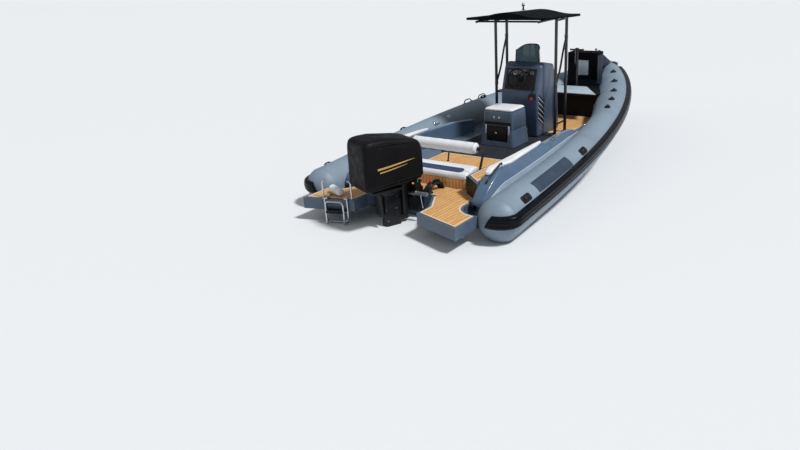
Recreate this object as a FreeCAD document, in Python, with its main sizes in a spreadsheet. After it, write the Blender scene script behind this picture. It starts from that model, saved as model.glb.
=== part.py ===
import FreeCAD
import Part
import Sketcher
import math
import os
from FreeCAD import Placement, Rotation, Vector

# Rigid inflatable boat with an outboard engine.
# +Y is the bow, +X is starboard, +Z is up. The origin is on the centreline, at the waterline,
# under the outer face of the transom. All sizes are in millimetres.

os.makedirs("parts", exist_ok=True)
doc = FreeCAD.newDocument("InflatableBoat")
sheet = doc.addObject("Spreadsheet::Sheet", "Sizes")

# Driving sizes: name and value.
SIZES = {
    # inflated tubes, in plan and in profile
    "half_beam": 1748, "tube_radius_aft": 282, "tube_radius_bow": 205, "tube_end_y": -240,
    "tube_end_long": 220, "tube_taper_y": -260, "bow_y": 6540, "tube_front_y": 6490, "tube_z_aft": 270,
    "tube_rise": 625, "bond_gap": 0.3,
    # rubbing strake
    "strake_tall": 180, "strake_proud": 45, "strake_up": 65,
    # rigid hull and its deck
    "keel_depth": 380, "chine_inset": 280, "deck_z": 335, "sole_thick": 95, "sole_aft_y": 700,
    "sole_front_y": 5300, "teak_thick": 8, "teak_border": 35, "teak_half": 560, "mat_aft_y": 1565,
    "mat_front_y": 3300,
    # bathing platforms, beside the engine
    "platform_thick": 155, "platform_outer_x": 1250, "platform_aft_y": -890, "platform_in_aft_y": -660,
    "platform_in_aft_x": 520, "platform_in_front_x": 300, "notch_x": 1190, "notch_y": -130,
    "notch_radius": 264,
    # steps beside the bench
    "step_z": 590, "step_gap": 75,
    # coaming mouldings inboard of the tubes
    "coaming_z": 700, "coaming_wide": 120, "coaming_aft_y": -110, "coaming_front_y": 2900,
    "coaming_inset": 200, "cushion_thick": 45, "cushion_aft_y": 290, "cushion_long": 1450,
    # aft bench with its folding backrest
    "bench_half": 620, "bench_aft_y": 370, "bench_front_y": 690, "bench_tall": 170,
    "bench_pad": 95, "roll_radius": 72, "roll_half": 540, "roll_y": 760, "roll_z": 815,
    "backrest_pivot_y": 610, "backrest_pivot_z": 490, "rail_radius": 14,
    # helm seat
    "seat_half": 275, "seat_aft_y": 2215, "seat_deep": 460, "seat_tall": 545, "seat_pad": 70,
    "drawer_half": 185, "drawer_tall": 230, "drawer_up": 85, "drawer_deep": 360, "slide_gap": 6,
    # steering console
    "console_half": 330, "console_aft_y": 2900, "console_deep": 800, "console_tall": 1180,
    "wheel_radius": 170, "wheel_rim": 15, "wheel_stand": 150, "dash_slope": 130, "screen_tall": 290,
    # hard top
    "post_x": 540, "post_aft_y": 3120, "post_front_y": 3480, "post_radius": 24, "top_z": 2320,
    "top_half": 720, "top_aft_y": 2470, "top_long": 1180, "top_thick": 34, "top_crown": 75,
    "crown_half": 520,
    # bow
    "bow_seat_z": 850, "bow_seat_aft_y": 4330, "bow_seat_front_y": 4960, "bow_pad": 60, "bow_lid_gap": 60,
    "bulkhead_y": 5330, "locker_z": 1450, "locker_half": 290, "locker_deep": 260, "hatch_half": 115,
    "hatch_z": 1030, "hatch_tall": 290, "nose_y": 6880,
    # outboard engine, with its own Y from the steering axis
    "steer_axis_y": -240, "tilt_axis_y": -95, "tilt_axis_z": 550, "steer_rest": 22,
    "cowl_z": 590, "cowl_half": 268, "cowl_long": 860, "cowl_front": 190, "cowl_tall": 620,
    "cowl_lift": 65, "prop_z": -480, "prop_radius": 200, "plate_z": -255,
    # boarding ladder on the port platform
    "ladder_x": -770, "ladder_half": 165, "ladder_long": 330, "ladder_tube": 13, "handle_tall": 230,
}


class Size:
    """A length as it is now, with the expression that keeps it bound to the sheet."""

    def __init__(self, value, text):
        self.value = float(value)
        self.text = text

    def __float__(self):
        return self.value

    def __neg__(self):
        return Size(-self.value, f"(-{self.text})")

    def __add__(self, other):
        return joined(self, "+", other)

    def __radd__(self, other):
        return joined(other, "+", self)

    def __sub__(self, other):
        return joined(self, "-", other)

    def __rsub__(self, other):
        return joined(other, "-", self)

    def __mul__(self, other):
        return joined(self, "*", other)

    def __rmul__(self, other):
        return joined(other, "*", self)

    def __truediv__(self, other):
        return joined(self, "/", other)


def joined(a, sign, b):
    left, right = float(a), float(b)
    value = {"+": left + right, "-": left - right, "*": left * right, "/": left / (right or 1)}[sign]
    return Size(value, f"({as_text(a)} {sign} {as_text(b)})")


def as_text(value):
    return value.text if isinstance(value, Size) else repr(float(value))


class Sheet:
    """The driving sizes by name."""


S = Sheet()
for row, (name, value) in enumerate(SIZES.items(), start=1):
    sheet.set(f"A{row}", name)
    sheet.set(f"B{row}", str(value))
    sheet.setAlias(f"B{row}", name)
    setattr(S, name, Size(value, f"Sizes.{name}"))
doc.recompute()


def bind(obj, **values):
    for prop, value in values.items():
        path = prop.replace("__", ".")
        obj.setExpression(path, as_text(value))
    return obj


def at(obj, x=0, y=0, z=0):
    return bind(obj, Placement__Base__x=x, Placement__Base__y=y, Placement__Base__z=z)


def turned(obj, axis, degrees):
    obj.Placement.Rotation = Rotation(Vector(*axis), degrees)
    return obj


def box(name, x, y, z, wide, deep, tall):
    """A block from its low corner."""
    return at(bind(doc.addObject("Part::Box", name), Length=wide, Width=deep, Height=tall), x, y, z)


def rod(name, x, y, z, radius, length, axis=(0, 0, 1)):
    """A round bar from its start, along an axis."""
    obj = doc.addObject("Part::Cylinder", name)
    obj.Placement.Rotation = Rotation(Vector(0, 0, 1), Vector(*axis))
    return at(bind(obj, Radius=radius, Height=length), x, y, z)


def fused(name, *pieces):
    obj = doc.addObject("Part::MultiFuse", name)
    obj.Shapes = list(pieces)
    return obj


def cut(name, base, *tools):
    obj = doc.addObject("Part::Cut", name)
    obj.Base = base
    obj.Tool = tools[0] if len(tools) == 1 else fused(name + "_tools", *tools)
    return obj


def group(name, *pieces):
    """Like solids that share a node and don't touch."""
    obj = doc.addObject("Part::Compound", name)
    obj.Links = list(pieces)
    return obj


def mirrored(name, piece):
    """The same piece on the other side of the boat."""
    obj = doc.addObject("Part::Mirroring", name)
    obj.Source = piece
    obj.Normal = Vector(1, 0, 0)
    return obj


def shape_of(name, shape, place=None):
    """A form with no primitive of its own, such as a loft through frames."""
    obj = doc.addObject("Part::Feature", name)
    obj.Shape = shape
    if place is not None:
        obj.Placement = place
    return obj


def pad(name, plane, outline, length, start=0, midplane=False):
    """A body from one outline of straight sides. XY outlines pad up, YZ ones to starboard."""
    body = doc.addObject("PartDesign::Body", name)
    sketch = body.newObject("Sketcher::SketchObject", name + "_outline")
    flat = [f for f in body.Origin.OriginFeatures if f.Role == plane + "_Plane"][0]
    sketch.AttachmentSupport = [(flat, "")]
    sketch.MapMode = "FlatFace"
    points = [Vector(float(a), float(b), 0) for a, b in outline]
    count = len(points)
    for i in range(count):
        sketch.addGeometry(Part.LineSegment(points[i], points[(i + 1) % count]))
    for i in range(count):
        sketch.addConstraint(Sketcher.Constraint("Coincident", i, 2, (i + 1) % count, 1))
    for i, (a, b) in enumerate(outline):
        for kind, value in (("DistanceX", a), ("DistanceY", b)):
            index = sketch.addConstraint(Sketcher.Constraint(kind, -1, 1, i, 1, float(value)))
            if isinstance(value, Size):
                sketch.setExpression(f"Constraints[{index}]", value.text)
    feature = body.newObject("PartDesign::Pad", name + "_pad")
    feature.Profile = sketch
    bind(feature, Length=length)
    feature.Midplane = midplane
    if plane == "XY":
        bind(body, Placement__Base__z=start)
    if plane == "YZ":
        bind(body, Placement__Base__x=start)
    doc.recompute()
    return body


def rounded(body, radius, along):
    """Rounds the body's straight edges that run along one axis."""
    base = body.Tip
    axis = Vector(*along)
    names = []
    for i, edge in enumerate(base.Shape.Edges, start=1):
        straight = isinstance(edge.Curve, Part.Line)
        if straight and abs(edge.Curve.Direction.dot(axis)) > 0.999:
            names.append(f"Edge{i}")
    fillet = body.newObject("PartDesign::Fillet", body.Name + "_round")
    fillet.Base = (base, names)
    bind(fillet, Radius=radius)
    doc.recompute()
    return body


# The tubes' centreline: plan, height and radius at a place along the boat.
PLAN_POWER = 2.8
PLAN_FULLNESS = 0.92
SHEER_CURVE = 0.14


def along_taper(y):
    run = float(S.bow_y) - float(S.tube_taper_y)
    return max(0.0, (y - float(S.tube_taper_y)) / run)


def tube_radius(y):
    change = float(S.tube_radius_bow) - float(S.tube_radius_aft)
    return float(S.tube_radius_aft) + change * along_taper(y)


def tube_centre(y):
    t = along_taper(y)
    x = (float(S.half_beam) - float(S.tube_radius_aft)) * (1 - t ** PLAN_POWER) ** PLAN_FULLNESS
    lift = (1 - SHEER_CURVE) * t + SHEER_CURVE * t ** 2
    return Vector(x, y, float(S.tube_z_aft) + float(S.tube_rise) * lift)


def tube_frame(y):
    """Centre, forward tangent and outward side of the starboard tube."""
    step = 1.0
    forward = (tube_centre(y + step) - tube_centre(y - step)).normalize()
    outward = forward.cross(Vector(0, 0, 1)).normalize()
    return tube_centre(y), forward, outward


def spaced(start, end, count):
    return [start + (end - start) * i / (count - 1) for i in range(count)]


def round_the_bow(end, count):
    """Places from the start of the taper, closer together as the tube turns in."""
    start = float(S.tube_taper_y)
    run = float(S.bow_y) - start
    last = math.asin((end - start) / run)
    return [start + run * math.sin(last * i / (count - 1)) for i in range(count)]


def tube_stations():
    """Place along the boat and radius: a domed end, then the run to the bow."""
    radius = float(S.tube_radius_aft)
    dome = []
    for angle in (79, 63, 44, 22):
        back = math.sin(math.radians(angle)) * float(S.tube_end_long)
        dome.append((float(S.tube_end_y) - back, radius * math.cos(math.radians(angle))))
    run = round_the_bow(float(S.tube_front_y), 15)
    return dome + [(y, tube_radius(y)) for y in run]


def tube_solid(extra=0.0):
    rings = []
    for y, radius in tube_stations():
        centre, forward, outward = tube_frame(y)
        rings.append(Part.Wire(Part.makeCircle(radius + extra, centre, forward)))
    middle = float(S.bond_gap) - extra
    past = Part.makeBox(1000, 2000, 2000, Vector(middle - 1000, float(S.bow_y) - 1000, 0))
    return Part.makeLoft(rings, True, True).cut(past)


tube_right = shape_of("tube_starboard", tube_solid())
tube_left = mirrored("tube_port", tube_right)
TUBE_SPACE = tube_solid(float(S.bond_gap))
TUBE_SPACES = [TUBE_SPACE, TUBE_SPACE.mirror(Vector(0, 0, 0), Vector(1, 0, 0))]


def clear_of_tubes(shape):
    for space in TUBE_SPACES:
        shape = shape.cut(space)
    return shape


def both_sides(shape):
    return Part.makeCompound([shape, shape.mirror(Vector(0, 0, 0), Vector(1, 0, 0))])


def strake_places():
    """Point on the tube's widest line, with the directions out and up: round the end, then forward."""
    places = []
    centre, forward, outward = tube_frame(float(S.tube_end_y))
    radius = float(S.tube_radius_aft)
    long = float(S.tube_end_long)
    for angle in (104, 84, 62, 40, 18):
        back = math.sin(math.radians(angle))
        side = math.cos(math.radians(angle))
        out = (outward * (side / radius) - forward * (back / long)).normalize()
        places.append((centre + outward * (radius * side) - forward * (long * back), out, Vector(0, 0, 1)))
    for y, radius in tube_stations()[5:-1]:
        centre, forward, outward = tube_frame(y)
        places.append((centre + outward * radius, outward, outward.cross(forward)))
    return places


def strake_solid():
    """A black band with a flat face, a little above the tube's widest line."""
    half = float(S.strake_tall) / 2
    rings = []
    for point, out, up in strake_places():
        middle = point + up * float(S.strake_up)
        face = float(S.strake_proud)
        corners = [(-80, -half), (face * 0.4, -half), (face, -half * 0.6), (face * 0.9, half * 0.55),
                   (face * 0.1, half), (-80, half)]
        points = [middle + out * a + up * b for a, b in corners]
        rings.append(Part.makePolygon(points + points[:1]))
    return clear_of_tubes(Part.makeLoft(rings, True, True))


strakes = shape_of("rub_strakes", both_sides(strake_solid()))

# Hull frames. Columns: place along the boat, keel height as a share of its depth,
# inset of the chine from the tube's centreline, height of the chine, height of the top.
HULL_FRAMES = [
    (0, -1.0, 1.0, -40, 0),
    (1500, -1.0, 1.0, -30, 0),
    (3000, -1.0, 1.0, 20, 0),
    (4000, -0.92, 1.05, 140, 0),
    (4900, -0.62, 1.1, 300, 60),
    (5500, -0.10, 1.0, 450, 250),
    (5950, 0.75, 0.8, 600, 420),
    (6250, 1.80, 0.45, 760, 520),
]


def hull_solid():
    rings = []
    for y, keel, inset, chine_z, lift in HULL_FRAMES:
        centre = tube_centre(y)
        chine_x = centre.x - inset * float(S.chine_inset)
        top = float(S.deck_z) + lift
        inside = centre.x - tube_radius(y) - 45
        side = [(0, keel * float(S.keel_depth)), (chine_x, chine_z), (chine_x + 35, chine_z + 12),
                (centre.x - 40, centre.z - 90), (max(centre.x - 150, 40), max(top, centre.z - 60)),
                (max(inside, 20), top)]
        points = side + [(-x, z) for x, z in reversed(side) if x > 0]
        wire = Part.makePolygon([Vector(x, y, z) for x, z in points + points[:1]])
        rings.append(wire)
    return clear_of_tubes(Part.makeLoft(rings, True, True))


hull = shape_of("hull", hull_solid())


def largest_of(shape):
    return max(shape.Solids, key=lambda solid: solid.Volume)


def inner_edge(y, height):
    """How far out the space between the tubes goes at a height."""
    centre = tube_centre(y)
    radius = tube_radius(y) + float(S.bond_gap)
    drop = min(abs(height - centre.z), radius)
    return centre.x - math.sqrt(radius ** 2 - drop ** 2)


def slab(start, end, low, high, inset=0.0, count=9):
    """A flat layer between the tubes, from one place along the boat to another."""
    right = []
    for y in spaced(start, end, count):
        reach = inner_edge(y, tube_centre(y).z) + 90 if not inset else inner_edge(y, (low + high) / 2) - inset
        right.append(Vector(reach, y, low))
    left = [Vector(-p.x, p.y, p.z) for p in reversed(right)]
    face = Part.Face(Part.makePolygon(right + left + right[:1]))
    solid = face.extrude(Vector(0, 0, high - low))
    return solid if inset else largest_of(clear_of_tubes(solid).cut(hull.Shape))


sole_z = float(S.deck_z + S.sole_thick)
liner = shape_of("cockpit_liner", slab(float(S.sole_aft_y), float(S.sole_front_y),
                                       float(S.deck_z), sole_z))
teak_aft_y = S.sole_aft_y + S.teak_border
teak_aft = box("teak_aft", -S.teak_half, teak_aft_y, S.deck_z + S.sole_thick, S.teak_half * 2,
               S.mat_aft_y - 8 - teak_aft_y, S.teak_thick)
teak_front = box("teak_front", -S.teak_half - 80, S.mat_front_y + 8, S.deck_z + S.sole_thick,
                 S.teak_half * 2 + 160, S.bow_seat_aft_y + 250 - S.mat_front_y, S.teak_thick)
cockpit_teak = group("cockpit_teak", teak_aft, teak_front)
sole_mat = box("sole_mat", -S.teak_half - 80, S.mat_aft_y, S.deck_z + S.sole_thick,
               S.teak_half * 2 + 160, S.mat_front_y - S.mat_aft_y, S.teak_thick)

# Bathing platforms: the outline goes round the engine's well and round a notch by the tube.
platform_top = S.deck_z
PLATFORM = [
    (S.platform_in_front_x, Size(0, "0")), (S.platform_in_front_x + 70, Size(-130, "-130")),
    (S.platform_in_aft_x, S.platform_in_aft_y + 260), (S.platform_in_aft_x, S.platform_in_aft_y),
    (S.platform_outer_x, S.platform_aft_y), (S.platform_outer_x, S.notch_y - 270),
    (S.notch_x, S.notch_y), (S.notch_x, Size(0, "0")),
]
platform_block = pad("platform_block", "XY", PLATFORM, S.platform_thick,
                     start=platform_top - S.platform_thick)
notch = rod("platform_notch", S.notch_x, S.notch_y, platform_top - S.platform_thick - 5, S.notch_radius,
            S.platform_thick + 10)
platform_right = cut("platform_right", platform_block, notch)
platform_left = mirrored("platform_left", platform_right)
platforms = group("stern_platforms", platform_right, platform_left)


def inset_outline(outline, border):
    """The same outline, drawn in by a border on every side."""
    points = [Vector(float(a), float(b), 0) for a, b in outline]
    face = Part.Face(Part.makePolygon(points + points[:1]))
    return face.makeOffset2D(-border)


pad_face = inset_outline(PLATFORM, float(S.teak_border))
platform_pad = pad_face.extrude(Vector(0, 0, float(S.teak_thick)))
platform_pad.translate(Vector(0, 0, float(platform_top)))
platform_pad = platform_pad.cut(Part.makeCylinder(
    float(S.notch_radius + S.teak_border), 100,
    Vector(float(S.notch_x), float(S.notch_y), float(platform_top) - 5)))
platform_pad = max(platform_pad.Solids, key=lambda solid: solid.Volume)
side_x = S.half_beam - S.tube_radius_aft * 2 - S.coaming_inset
aft_half = float(side_x) - 30
aft_pad = Part.makeBox(aft_half * 2, float(S.bench_aft_y) - 20, float(S.teak_thick),
                       Vector(-aft_half, 12, float(platform_top)))

# A step stands at each end of the bench, with a slanting aft face.
step_in_x = S.bench_half + S.step_gap
STEP = [(step_in_x, S.bench_aft_y - 110), (side_x - 3, Size(25, "25")), (side_x - 3, S.sole_aft_y - 5),
        (step_in_x, S.sole_aft_y - 5)]
step_right = pad("step_right", "XY", STEP, S.step_z - S.deck_z, start=S.deck_z)
side_steps = group("side_steps", step_right, mirrored("step_left", step_right))
step_pad = inset_outline(STEP, float(S.teak_border)).extrude(Vector(0, 0, float(S.teak_thick)))
step_pad.translate(Vector(0, 0, float(S.step_z)))
for side in (-1, 1):
    step_space = step_right.Shape if side > 0 else step_right.Shape.mirror(Vector(0, 0, 0), Vector(1, 0, 0))
    aft_pad = aft_pad.cut(step_space)
platform_teak = shape_of("platform_teak", Part.makeCompound(
    [both_sides(platform_pad), both_sides(step_pad), aft_pad]))


# Coaming mouldings. Columns: place along the boat, top, how far round the tube the flare reaches.
COAMING_FRAMES = [
    (S.coaming_aft_y, S.deck_z + 60, 5), (S.coaming_aft_y + 110, S.deck_z + 190, 25),
    (S.coaming_aft_y + 260, S.coaming_z - 70, 40), (S.coaming_aft_y + 400, S.coaming_z, 45),
    (S.cushion_aft_y + S.cushion_long * 0.5, S.coaming_z, 45), (S.cushion_aft_y + S.cushion_long, S.coaming_z, 42),
    (S.coaming_front_y - 500, S.coaming_z - 5, 35), (S.coaming_front_y, S.coaming_z - 60, 20),
]


def coaming_inner(y):
    return tube_centre(y).x - tube_radius(y) - float(S.coaming_inset)


def coaming_solid():
    rings = []
    low = float(S.deck_z) + 5
    for place, height, reach in COAMING_FRAMES:
        y = float(place)
        centre = tube_centre(y)
        radius = tube_radius(y) - 15
        inner = coaming_inner(y)
        round_x = radius * math.cos(math.radians(reach))
        round_z = radius * math.sin(math.radians(reach))
        shoulder = inner + float(S.coaming_wide)
        points = [(inner, low), (inner, float(height) - 20), (inner + 18, float(height)),
                  (shoulder, float(height)), (centre.x - round_x, centre.z + round_z),
                  (centre.x - radius * 0.8, centre.z), (inner + 60, low)]
        rings.append(Part.makePolygon([Vector(x, y, z) for x, z in points + points[:1]]))
    loft = Part.makeLoft(rings, True, True)
    return clear_of_tubes(loft).cut(liner.Shape).cut(hull.Shape)


side_mouldings = shape_of("side_mouldings", both_sides(largest_of(coaming_solid())))


def cushion_solid():
    start = float(S.cushion_aft_y)
    end = start + float(S.cushion_long)
    wide = float(S.coaming_wide) - 12
    outline = [Vector(coaming_inner(start) + 8, start, 0), Vector(coaming_inner(start) + wide, start, 0),
               Vector(coaming_inner(end) + wide, end, 0), Vector(coaming_inner(end) + 8, end, 0)]
    solid = Part.Face(Part.makePolygon(outline + outline[:1])).extrude(Vector(0, 0, float(S.cushion_thick)))
    solid.translate(Vector(0, 0, float(S.coaming_z) + 0.3))
    return solid


coaming_cushions = shape_of("coaming_cushions", both_sides(cushion_solid()))

# Aft bench, with the roll that folds over it as its backrest.
bench_top = S.deck_z + S.bench_tall
bench_body = pad("bench_body", "YZ", [
    (S.bench_aft_y, S.deck_z), (S.bench_front_y - 25, S.deck_z), (S.bench_front_y, S.deck_z + 40),
    (S.bench_front_y, bench_top), (S.bench_aft_y, bench_top)],
    S.bench_half * 2, start=-S.bench_half)
arm_out = 30
boss_long = arm_out - S.rail_radius - S.bond_gap
bench_base = fused("bench_base", bench_body, *[
    rod(f"backrest_boss_{tag}", start, S.backrest_pivot_y, S.backrest_pivot_z, 18, boss_long, (1, 0, 0))
    for tag, start in (("starboard", S.bench_half), ("port", -S.bench_half - boss_long))])
bench_cushion = box("bench_cushion", -S.bench_half + 15, S.bench_aft_y - 5, bench_top,
                    S.bench_half * 2 - 30, S.bench_front_y - S.bench_aft_y + 5, S.bench_pad)
arm_x = S.bench_half + arm_out
arm_lean = math.degrees(math.atan2(float(S.roll_y - S.backrest_pivot_y),
                                   float(S.roll_z - S.backrest_pivot_z)))
arm_length = math.hypot(float(S.roll_y - S.backrest_pivot_y), float(S.roll_z - S.backrest_pivot_z))


def backrest_arm(side):
    stem = Part.makeCylinder(float(S.rail_radius), arm_length, Vector(
        side * float(arm_x), float(S.backrest_pivot_y), float(S.backrest_pivot_z)), Vector(
        0, float(S.roll_y - S.backrest_pivot_y), float(S.roll_z - S.backrest_pivot_z)))
    tube = float(S.rail_radius)
    eye = Part.makeCylinder(24, tube * 2, Vector(side * float(arm_x) - tube, float(S.backrest_pivot_y),
                                                 float(S.backrest_pivot_z)), Vector(1, 0, 0))
    return stem.fuse(eye)


cross = Part.makeCylinder(float(S.rail_radius), float(arm_x) * 2, Vector(
    -float(arm_x), float(S.roll_y), float(S.roll_z)), Vector(1, 0, 0))
backrest_frame = shape_of("backrest_frame", backrest_arm(1).fuse([backrest_arm(-1), cross]))
roll_bar = rod("roll_body", -S.roll_half, S.roll_y, S.roll_z, S.roll_radius, S.roll_half * 2, (1, 0, 0))
roll_bore = rod("roll_bore", -S.roll_half - 5, S.roll_y, S.roll_z, S.rail_radius + 0.3,
                S.roll_half * 2 + 10, (1, 0, 0))
backrest_roll = cut("backrest_roll", roll_bar, roll_bore)

# Helm seat: a moulded box with a drawer and a lid that carries the cushion.
seat_z = S.deck_z + S.sole_thick + S.teak_thick
seat_body = rounded(pad("seat_body", "XY", [
    (-S.seat_half, S.seat_aft_y), (S.seat_half, S.seat_aft_y),
    (S.seat_half, S.seat_aft_y + S.seat_deep), (-S.seat_half, S.seat_aft_y + S.seat_deep)],
    S.seat_tall, start=seat_z), 45, (0, 0, 1))
drawer_hole = box("drawer_hole", -S.drawer_half - S.slide_gap, S.seat_aft_y - 10,
                  seat_z + S.drawer_up - S.bond_gap, (S.drawer_half + S.slide_gap) * 2,
                  S.drawer_deep + S.slide_gap + 10, S.drawer_tall + S.slide_gap + S.bond_gap)
seat_bin = box("seat_bin", -S.seat_half + 40, S.seat_aft_y + 40, seat_z + S.drawer_up + S.drawer_tall + 60,
               S.seat_half * 2 - 80, S.seat_deep - 80, S.seat_tall)
helm_seat_box = cut("helm_seat_box", seat_body, drawer_hole, seat_bin)
drawer_block = box("drawer_block", -S.drawer_half, S.seat_aft_y + 5, seat_z + S.drawer_up,
                   S.drawer_half * 2, S.drawer_deep - 5, S.drawer_tall)
drawer_well = box("drawer_well", -S.drawer_half + 12, S.seat_aft_y + 30, seat_z + S.drawer_up + 12,
                  S.drawer_half * 2 - 24, S.drawer_deep - 55, S.drawer_tall)
seat_drawer = cut("seat_drawer", drawer_block, drawer_well)
helm_seat_cushion = rounded(pad("helm_seat_cushion", "XY", [
    (-S.seat_half + 12, S.seat_aft_y + 20), (S.seat_half - 12, S.seat_aft_y + 20),
    (S.seat_half - 12, S.seat_aft_y + S.seat_deep - 8), (-S.seat_half + 12, S.seat_aft_y + S.seat_deep - 8)],
    S.seat_pad, start=seat_z + S.seat_tall + 0.3), 40, (0, 0, 1))

# Steering console: side profile padded across, with slanted vents in both sides.
console_top = seat_z + S.console_tall
aft = S.console_aft_y
dash_low = seat_z + 700
console_body = pad("console_body", "YZ", [
    (aft + 30, seat_z), (aft, dash_low), (aft + S.dash_slope, console_top - 60),
    (aft + 250, console_top), (aft + S.console_deep - 220, console_top - 70),
    (aft + S.console_deep - 60, dash_low), (aft + S.console_deep, seat_z)],
    S.console_half * 2, start=-S.console_half)
vents = []
vent_deep = 16
vent_pitch = 100
for side in (-1, 1):
    for i in range(5):
        vent = box(f"vent_{'right' if side > 0 else 'left'}_{i + 1}", side * S.console_half - vent_deep / 2,
                   aft + 55, dash_low - 20 - vent_pitch * i, vent_deep, 230, 26)
        vents.append(turned(vent, (1, 0, 0), -35))
console = cut("console", console_body, *vents)
glass_wall = 8
glass_radius = float(S.console_half) - 55
glass = Part.makeCone(glass_radius, glass_radius - 50, float(S.screen_tall) + 70,
                      Vector(0, 0, 0), Vector(0, 0, 1), 180)
glass = glass.cut(Part.makeCone(glass_radius - glass_wall, glass_radius - 50 - glass_wall,
                                float(S.screen_tall) + 70, Vector(0, 0, 0), Vector(0, 0, 1), 180))
glass.translate(Vector(0, float(aft) + 250, float(console_top) - 70))
windscreen = shape_of("windscreen", largest_of(glass.cut(console_body.Shape)))

# The wheel stands square off the middle of the sloping dash.
dash_high = console_top - 60
lean = math.atan2(float(S.dash_slope), float(dash_high - dash_low))
wheel_axis = Vector(0, -math.cos(lean), math.sin(lean))
dash_middle = Vector(0, float(aft + S.dash_slope / 2), float(dash_low + dash_high) / 2)
wheel_place = Placement(dash_middle + wheel_axis * float(S.wheel_stand), Rotation(Vector(0, 0, 1), wheel_axis))


def wheel_solid():
    rim = Part.makeTorus(float(S.wheel_radius) - float(S.wheel_rim), float(S.wheel_rim))
    hub = Part.makeCylinder(38, 40, Vector(0, 0, -30))
    reach = float(S.wheel_stand) - float(S.bond_gap)
    shaft = Part.makeCylinder(16, reach - 20, Vector(0, 0, -reach))
    spokes = []
    for i in range(3):
        spoke = Part.makeBox(float(S.wheel_radius) - float(S.wheel_rim), 30, 10, Vector(0, -15, -8))
        spoke.rotate(Vector(0, 0, 0), Vector(0, 0, 1), 90 + 120 * i)
        spokes.append(spoke)
    return rim.fuse([hub, shaft] + spokes)


steering_wheel = shape_of("steering_wheel", wheel_solid(), wheel_place)
throttle_base = box("throttle_base", S.console_half - 120, aft - 70, dash_low - 60, 90, 70 - S.bond_gap, 70)
throttle_arm = rod("throttle_arm", S.console_half - 75, aft - 40, dash_low, 12, 150)
throttle = fused("throttle", throttle_base, throttle_arm)

# Hard top: four posts with rails, and one crowned roof.
posts = []
sole_top = S.deck_z + S.sole_thick + S.teak_thick
post_tall = S.top_z - sole_top
for tag, side in (("starboard", 1), ("port", -1)):
    for end, y in (("aft", S.post_aft_y), ("front", S.post_front_y)):
        posts.append(rod(f"post_{tag}_{end}", side * S.post_x, y, sole_top, S.post_radius, post_tall))
        posts.append(rod(f"foot_{tag}_{end}", side * S.post_x, y, sole_top, S.post_radius * 2.2, 8))
    for level, z in (("low", sole_top + 190), ("high", S.top_z - 60)):
        posts.append(rod(f"rail_{tag}_{level}", side * S.post_x, S.post_aft_y, z, S.rail_radius,
                         S.post_front_y - S.post_aft_y, (0, 1, 0)))
    posts.append(rod(f"roof_rail_{tag}", side * S.post_x, S.top_aft_y + 60, S.top_z - S.rail_radius - 5,
                     S.rail_radius + 4, S.top_long - 120, (0, 1, 0)))
for i in range(3):
    posts.append(rod(f"roof_bar_{i + 1}", -S.post_x, S.top_aft_y + 120 + i * (S.top_long - 240) / 2,
                     S.top_z - S.rail_radius - 5, S.rail_radius, S.post_x * 2, (1, 0, 0)))
t_top_frame = fused("t_top_frame", *posts)


def roof_solid():
    """Flat wings with an arched middle, and round corners in plan."""
    half = float(S.top_half)
    z = float(S.top_z)
    wing = z + float(S.top_thick)
    y = float(S.top_aft_y)
    arch = float(S.crown_half)
    outline = [Vector(-arch, y, wing), Vector(-half, y, wing), Vector(-half, y, z), Vector(half, y, z),
               Vector(half, y, wing), Vector(arch, y, wing)]
    over = Part.Arc(outline[-1], Vector(0, y, wing + float(S.top_crown)), outline[0]).toShape()
    face = Part.Face(Part.Wire(Part.makePolygon(outline).Edges + [over]))
    blank = Part.makeBox(half * 2, float(S.top_long), 400, Vector(-half, y, z - 100))
    upright = [edge for edge in blank.Edges if abs(edge.Vertexes[0].Z - edge.Vertexes[1].Z) > 1]
    return face.extrude(Vector(0, float(S.top_long), 0)).common(blank.makeFillet(90, upright))


t_top_canopy = shape_of("t_top_canopy", roof_solid())
mast_foot = S.top_z + S.top_thick + S.top_crown
mast_light = fused("mast_light", rod("mast_stem", 0, S.top_aft_y + S.top_long / 2, mast_foot, 14, 60),
                   rod("mast_lamp", 0, S.top_aft_y + S.top_long / 2, mast_foot + 60, 26, 60))

# Bow: seat base with its lid, then a bulkhead up to the foredeck.
bow_base = shape_of("bow_seat_base", slab(float(S.bow_seat_aft_y) + 270, float(S.bulkhead_y) - 0.3,
                                          sole_z, float(S.bow_seat_z)))


def foredeck_solid():
    """A low deck bridging the tubes, then a nose ahead of where they meet."""
    # columns: share of the way to the nose, least half width, drop of the underside, rise over the tubes
    frames = [(0, 0, 300, 15), (0.27, 0, 220, 35), (0.53, 0, 150, 50), (0.72, 150, 120, 60),
              (0.86, 120, 60, 45), (1.0, 60, -20, 10)]
    start = float(S.bulkhead_y)
    rings = []
    for share, least, drop, rise in frames:
        y = start + share * (float(S.nose_y) - start)
        centre = tube_centre(min(y, float(S.tube_front_y)))
        half_wide = max(centre.x * 0.96, least)
        deck = centre.z + tube_radius(min(y, float(S.tube_front_y))) + rise
        points = [(-half_wide, centre.z - drop), (half_wide, centre.z - drop), (half_wide, deck - 45),
                  (half_wide * 0.84, deck), (-half_wide * 0.84, deck), (-half_wide, deck - 45)]
        rings.append(Part.makePolygon([Vector(x, y, h) for x, h in points + points[:1]]))
    solid = clear_of_tubes(Part.makeLoft(rings, True, True))
    return largest_of(solid.cut(hull.Shape).cut(liner.Shape))


def locker_solid():
    """The upright locker on the foredeck, with round corners."""
    foot = tube_centre(float(S.bulkhead_y)).z
    wide = float(S.locker_half) * 2
    block = Part.makeBox(wide, float(S.locker_deep), float(S.locker_z) - foot,
                         Vector(-wide / 2, float(S.bulkhead_y), foot))
    round_edges = [e for e in block.Edges if e.Vertexes[0].Z > foot + 1 and e.Vertexes[1].Z > foot + 1]
    return block.makeFillet(45, round_edges)


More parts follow.
